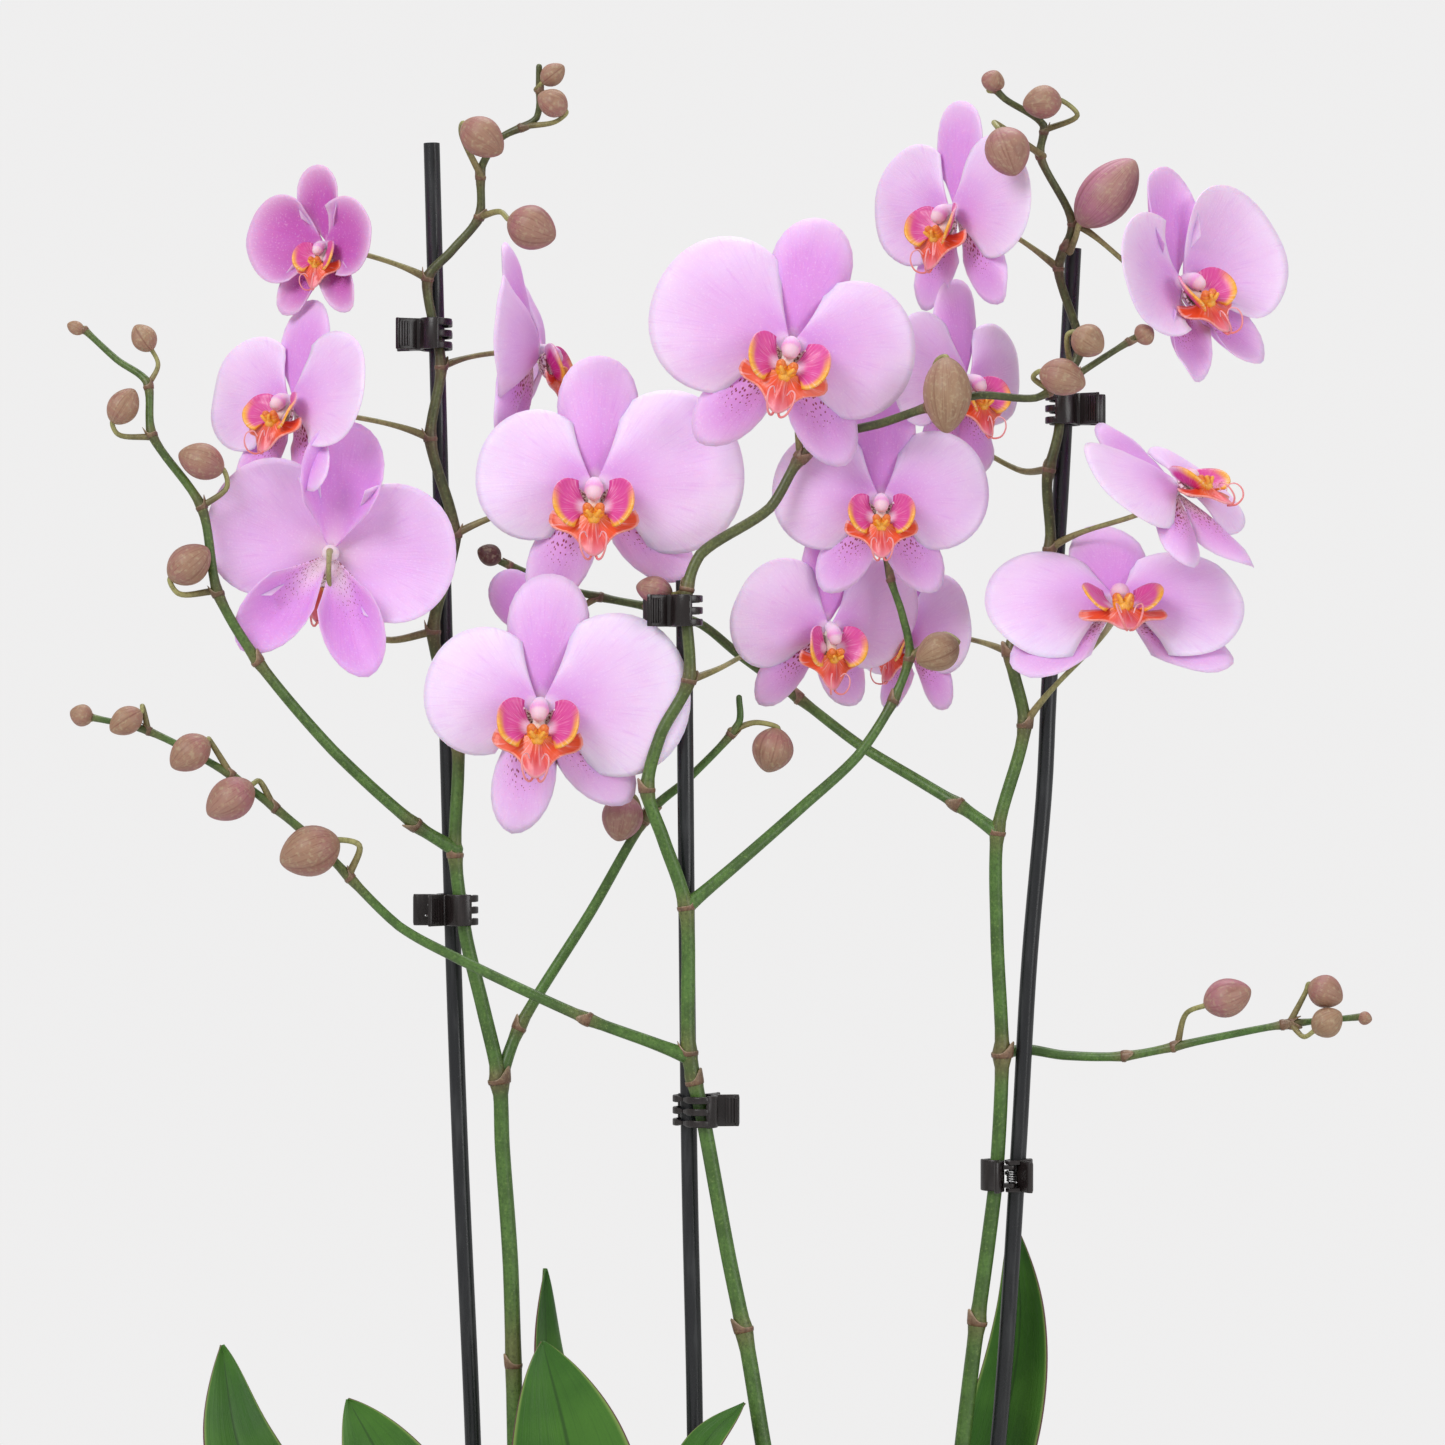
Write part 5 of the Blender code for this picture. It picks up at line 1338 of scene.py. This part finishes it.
def jaw(name, moving):
    """One jaw: a plate with a ribbed finger tab, three curved teeth, and two ears on the hinge."""
    matrix, spread = clip_frame(name)
    hand = 1 if moving else -1
    middle = STEM_RADIUS + JAW_FREE_SPACE + CLIP_THICKNESS / 2
    hinge = CLIP_HINGE
    reach = CLIP_EAR_RADIUS + CLEARANCE
    half = CLIP_HEIGHT / 2
    tab_out = np.array((math.cos(CLIP_TAB_ANGLE), math.sin(CLIP_TAB_ANGLE)))
    tab_up = np.array((-tab_out[1], tab_out[0]))
    root = np.array((hinge, 0.0)) + tab_up * (reach + CLIP_THICKNESS / 2)
    tip = root + tab_out * CLIP_TAB_LENGTH
    band = wrap(spread, middle, 18, JAW_GAP / 2 + 0.15 * MM)
    tab = [root + (tip - root) * share - tab_up * 0.9 * MM * share**2 * (share < 1)
           for share in np.linspace(1, 0, 9)]
    heel = [(x, reach + CLIP_THICKNESS / 2) for x in np.linspace(hinge - 0.6 * MM, middle + 0.9 * MM, 4)]
    start = next(i for i, (_, y) in enumerate(band) if y > reach + CLIP_THICKNESS)
    corner = [(middle + 0.25 * MM, reach + CLIP_THICKNESS * 0.7)]
    split = next(i for i, (x, _) in enumerate(band) if x < -middle * 0.1)
    plate = [*tab, *heel, *corner, *band[start:split + 1]]
    shape = Shape()
    strip(shape, handed(plate, hand), CLIP_THICKNESS, -half, half, matrix)
    tooth = handed(band[split - 1:], hand)
    gap = (CLIP_HEIGHT - 3 * CLIP_TOOTH) / 2
    for k in (-1, 0, 1):
        low = -CLIP_TOOTH / 2 + k * (CLIP_TOOTH + gap)
        strip(shape, tooth, CLIP_THICKNESS, low + 0.25 * MM, low + CLIP_TOOTH - 0.25 * MM, matrix, 0.45)
    ear_top = half - CLIP_EAR_HEIGHT - CLEARANCE if moving else half
    ear = [(hinge + CLIP_EAR_RADIUS * math.sin(a), -hand * CLIP_EAR_RADIUS * math.cos(a))
           for a in np.radians(np.linspace(-90, 90, 19))]
    ear += [(hinge + CLIP_EAR_RADIUS, hand * (reach + CLIP_THICKNESS * 0.6)),
            (hinge - CLIP_EAR_RADIUS, hand * (reach + CLIP_THICKNESS * 0.6))]
    for low in (ear_top - CLIP_EAR_HEIGHT, -ear_top):
        bevelled(shape, ear, low, low + CLIP_EAR_HEIGHT, 0.18 * MM, matrix)
    for k in range(4):
        along_tab = root + tab_out * (CLIP_TAB_LENGTH * (0.5 + 0.13 * k)) + tab_up * CLIP_THICKNESS * 0.42
        ends = [along_tab - tab_out * 0.28 * MM, along_tab + tab_out * 0.28 * MM]
        strip(shape, handed(ends, hand), 0.6 * MM, -half + 1.2 * MM, half - 1.2 * MM, matrix)
    if not moving:
        post = [(hinge + CLIP_POST_RADIUS * math.cos(a), CLIP_POST_RADIUS * math.sin(a))
                for a in np.radians(np.arange(0, 360, 15))]
        bevelled(shape, post, POST_INSET - half, half - POST_INSET, 0.1 * MM, matrix)
    kind = "moving_jaw" if moving else "fixed_jaw"
    body = f"{name}_jaw" if moving else ROOT_BODY
    shape.build(f"{name}_{kind}_detail", [CLIP_PLASTIC], body, [f"{name}_{kind}"], sharp=40)


def spring(name):
    """The torsion spring: a few coils round the post, with a leg along each finger tab."""
    matrix, _ = clip_frame(name)
    hinge = CLIP_HINGE
    coil_radius = CLIP_POST_RADIUS + POST_CLEARANCE + SPRING_WIRE_RADIUS
    half = CLIP_HEIGHT / 2 - 2 * CLIP_EAR_HEIGHT - CLEARANCE * 2 - SPRING_WIRE_RADIUS
    turns, per_turn = 4.5, 20
    steps = int(turns * per_turn)
    points = []
    for i in range(steps + 1):
        angle = 2 * math.pi * i / per_turn - math.pi / 2
        height = half * (2 * i / steps - 1)
        points.append((hinge + coil_radius * math.cos(angle), coil_radius * math.sin(angle), height))
    leg = [(points[0][0] + SPRING_LEG * k / 4, points[0][1], points[0][2]) for k in range(4, 0, -1)]
    last = [(points[-1][0] + SPRING_LEG * k / 4, points[-1][1], points[-1][2]) for k in range(1, 5)]
    line = np.array([tuple(matrix @ Vector(point)) for point in [*leg, *points, *last]])
    shape = Shape()
    tube(shape, line, SPRING_WIRE_RADIUS, 0.0, 10)
    shape.build(f"{name}_coil", [STEEL], replaced=[f"{name}_spring"])


# ---- Studio ----------------------------------------------------------------------------------


def studio():
    """Pale floor and surround, soft light from the upper left, and the camera at the plants' height."""
    scene = bpy.context.scene
    scene.view_settings.view_transform = "Standard"
    world = bpy.data.worlds.new("studio_surround")
    world.use_nodes = True
    scene.world = world
    tree = world.node_tree
    background = tree.nodes["Background"]
    background.inputs["Color"].default_value = (0.865, 0.86, 0.86, 1)
    path = tree.nodes.new("ShaderNodeLightPath")
    strength = tree.nodes.new("ShaderNodeMapRange")
    strength.inputs["To Min"].default_value = 0.6
    strength.inputs["To Max"].default_value = 1.0
    tree.links.new(path.outputs["Is Camera Ray"], strength.inputs["Value"])
    tree.links.new(strength.outputs[0], background.inputs["Strength"])

    floor_mesh = bpy.data.meshes.new("floor")
    bm = bmesh.new()
    bmesh.ops.create_circle(bm, cap_ends=True, segments=96, radius=1.5)
    bm.to_mesh(floor_mesh)
    bm.free()
    floor = bpy.data.objects.new("floor", floor_mesh)
    scene.collection.objects.link(floor)
    pale = Material("floor_paper", Roughness=0.8)
    fibre = pale.noise(pale.here(), 120.0, 3.0)
    pale.link("Base Color", pale.over((0.8, 0.795, 0.79), (0.78, 0.775, 0.77), fibre, 0.3, 0.7))
    floor_mesh.materials.append(pale.made)

    aim = Vector((0, 0, 0.5))
    for name, where, size, power in (
        ("key", (-1.3, -1.7, 1.9), 1.3, 34),
        ("fill", (1.7, -1.4, 0.9), 1.4, 13),
        ("top", (0.1, 0.5, 2.1), 1.2, 14),
    ):
        lamp = bpy.data.lights.new(name, "AREA")
        lamp.shape = "DISK"
        lamp.size = size
        lamp.energy = power
        obj = bpy.data.objects.new(name, lamp)
        obj.location = where
        obj.rotation_euler = (aim - Vector(where)).to_track_quat("-Z", "Y").to_euler()
        scene.collection.objects.link(obj)

    camera = bpy.data.cameras.new("camera")
    camera.sensor_width = 36
    camera.lens = CAMERA_LENS
    camera.clip_start = 0.05
    view = bpy.data.objects.new("camera", camera)
    view.location = CAMERA_PLACE
    view.rotation_euler = (math.radians(90), 0, 0)
    scene.collection.objects.link(view)
    scene.camera = view


studio()
RNG = random.Random(7)
planter()
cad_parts["potting_bark"].data.materials.clear()
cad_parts["potting_bark"].data.materials.append(bark_material())
bark_chips(RNG)
for number, plant in enumerate(CROWNS):
    crown(plant, RNG)
    stake(plant)
    spike(plant, 3.1 * number)
for number, leaf_name in enumerate(LEAVES):
    leaf(leaf_name, 1.7 * number)
for number, flower_name in enumerate(FLOWERS):
    bloom(flower_name, 11.3 * number)
for clip_name in CLIPS:
    jaw(clip_name, False)
    jaw(clip_name, True)
    spring(clip_name)
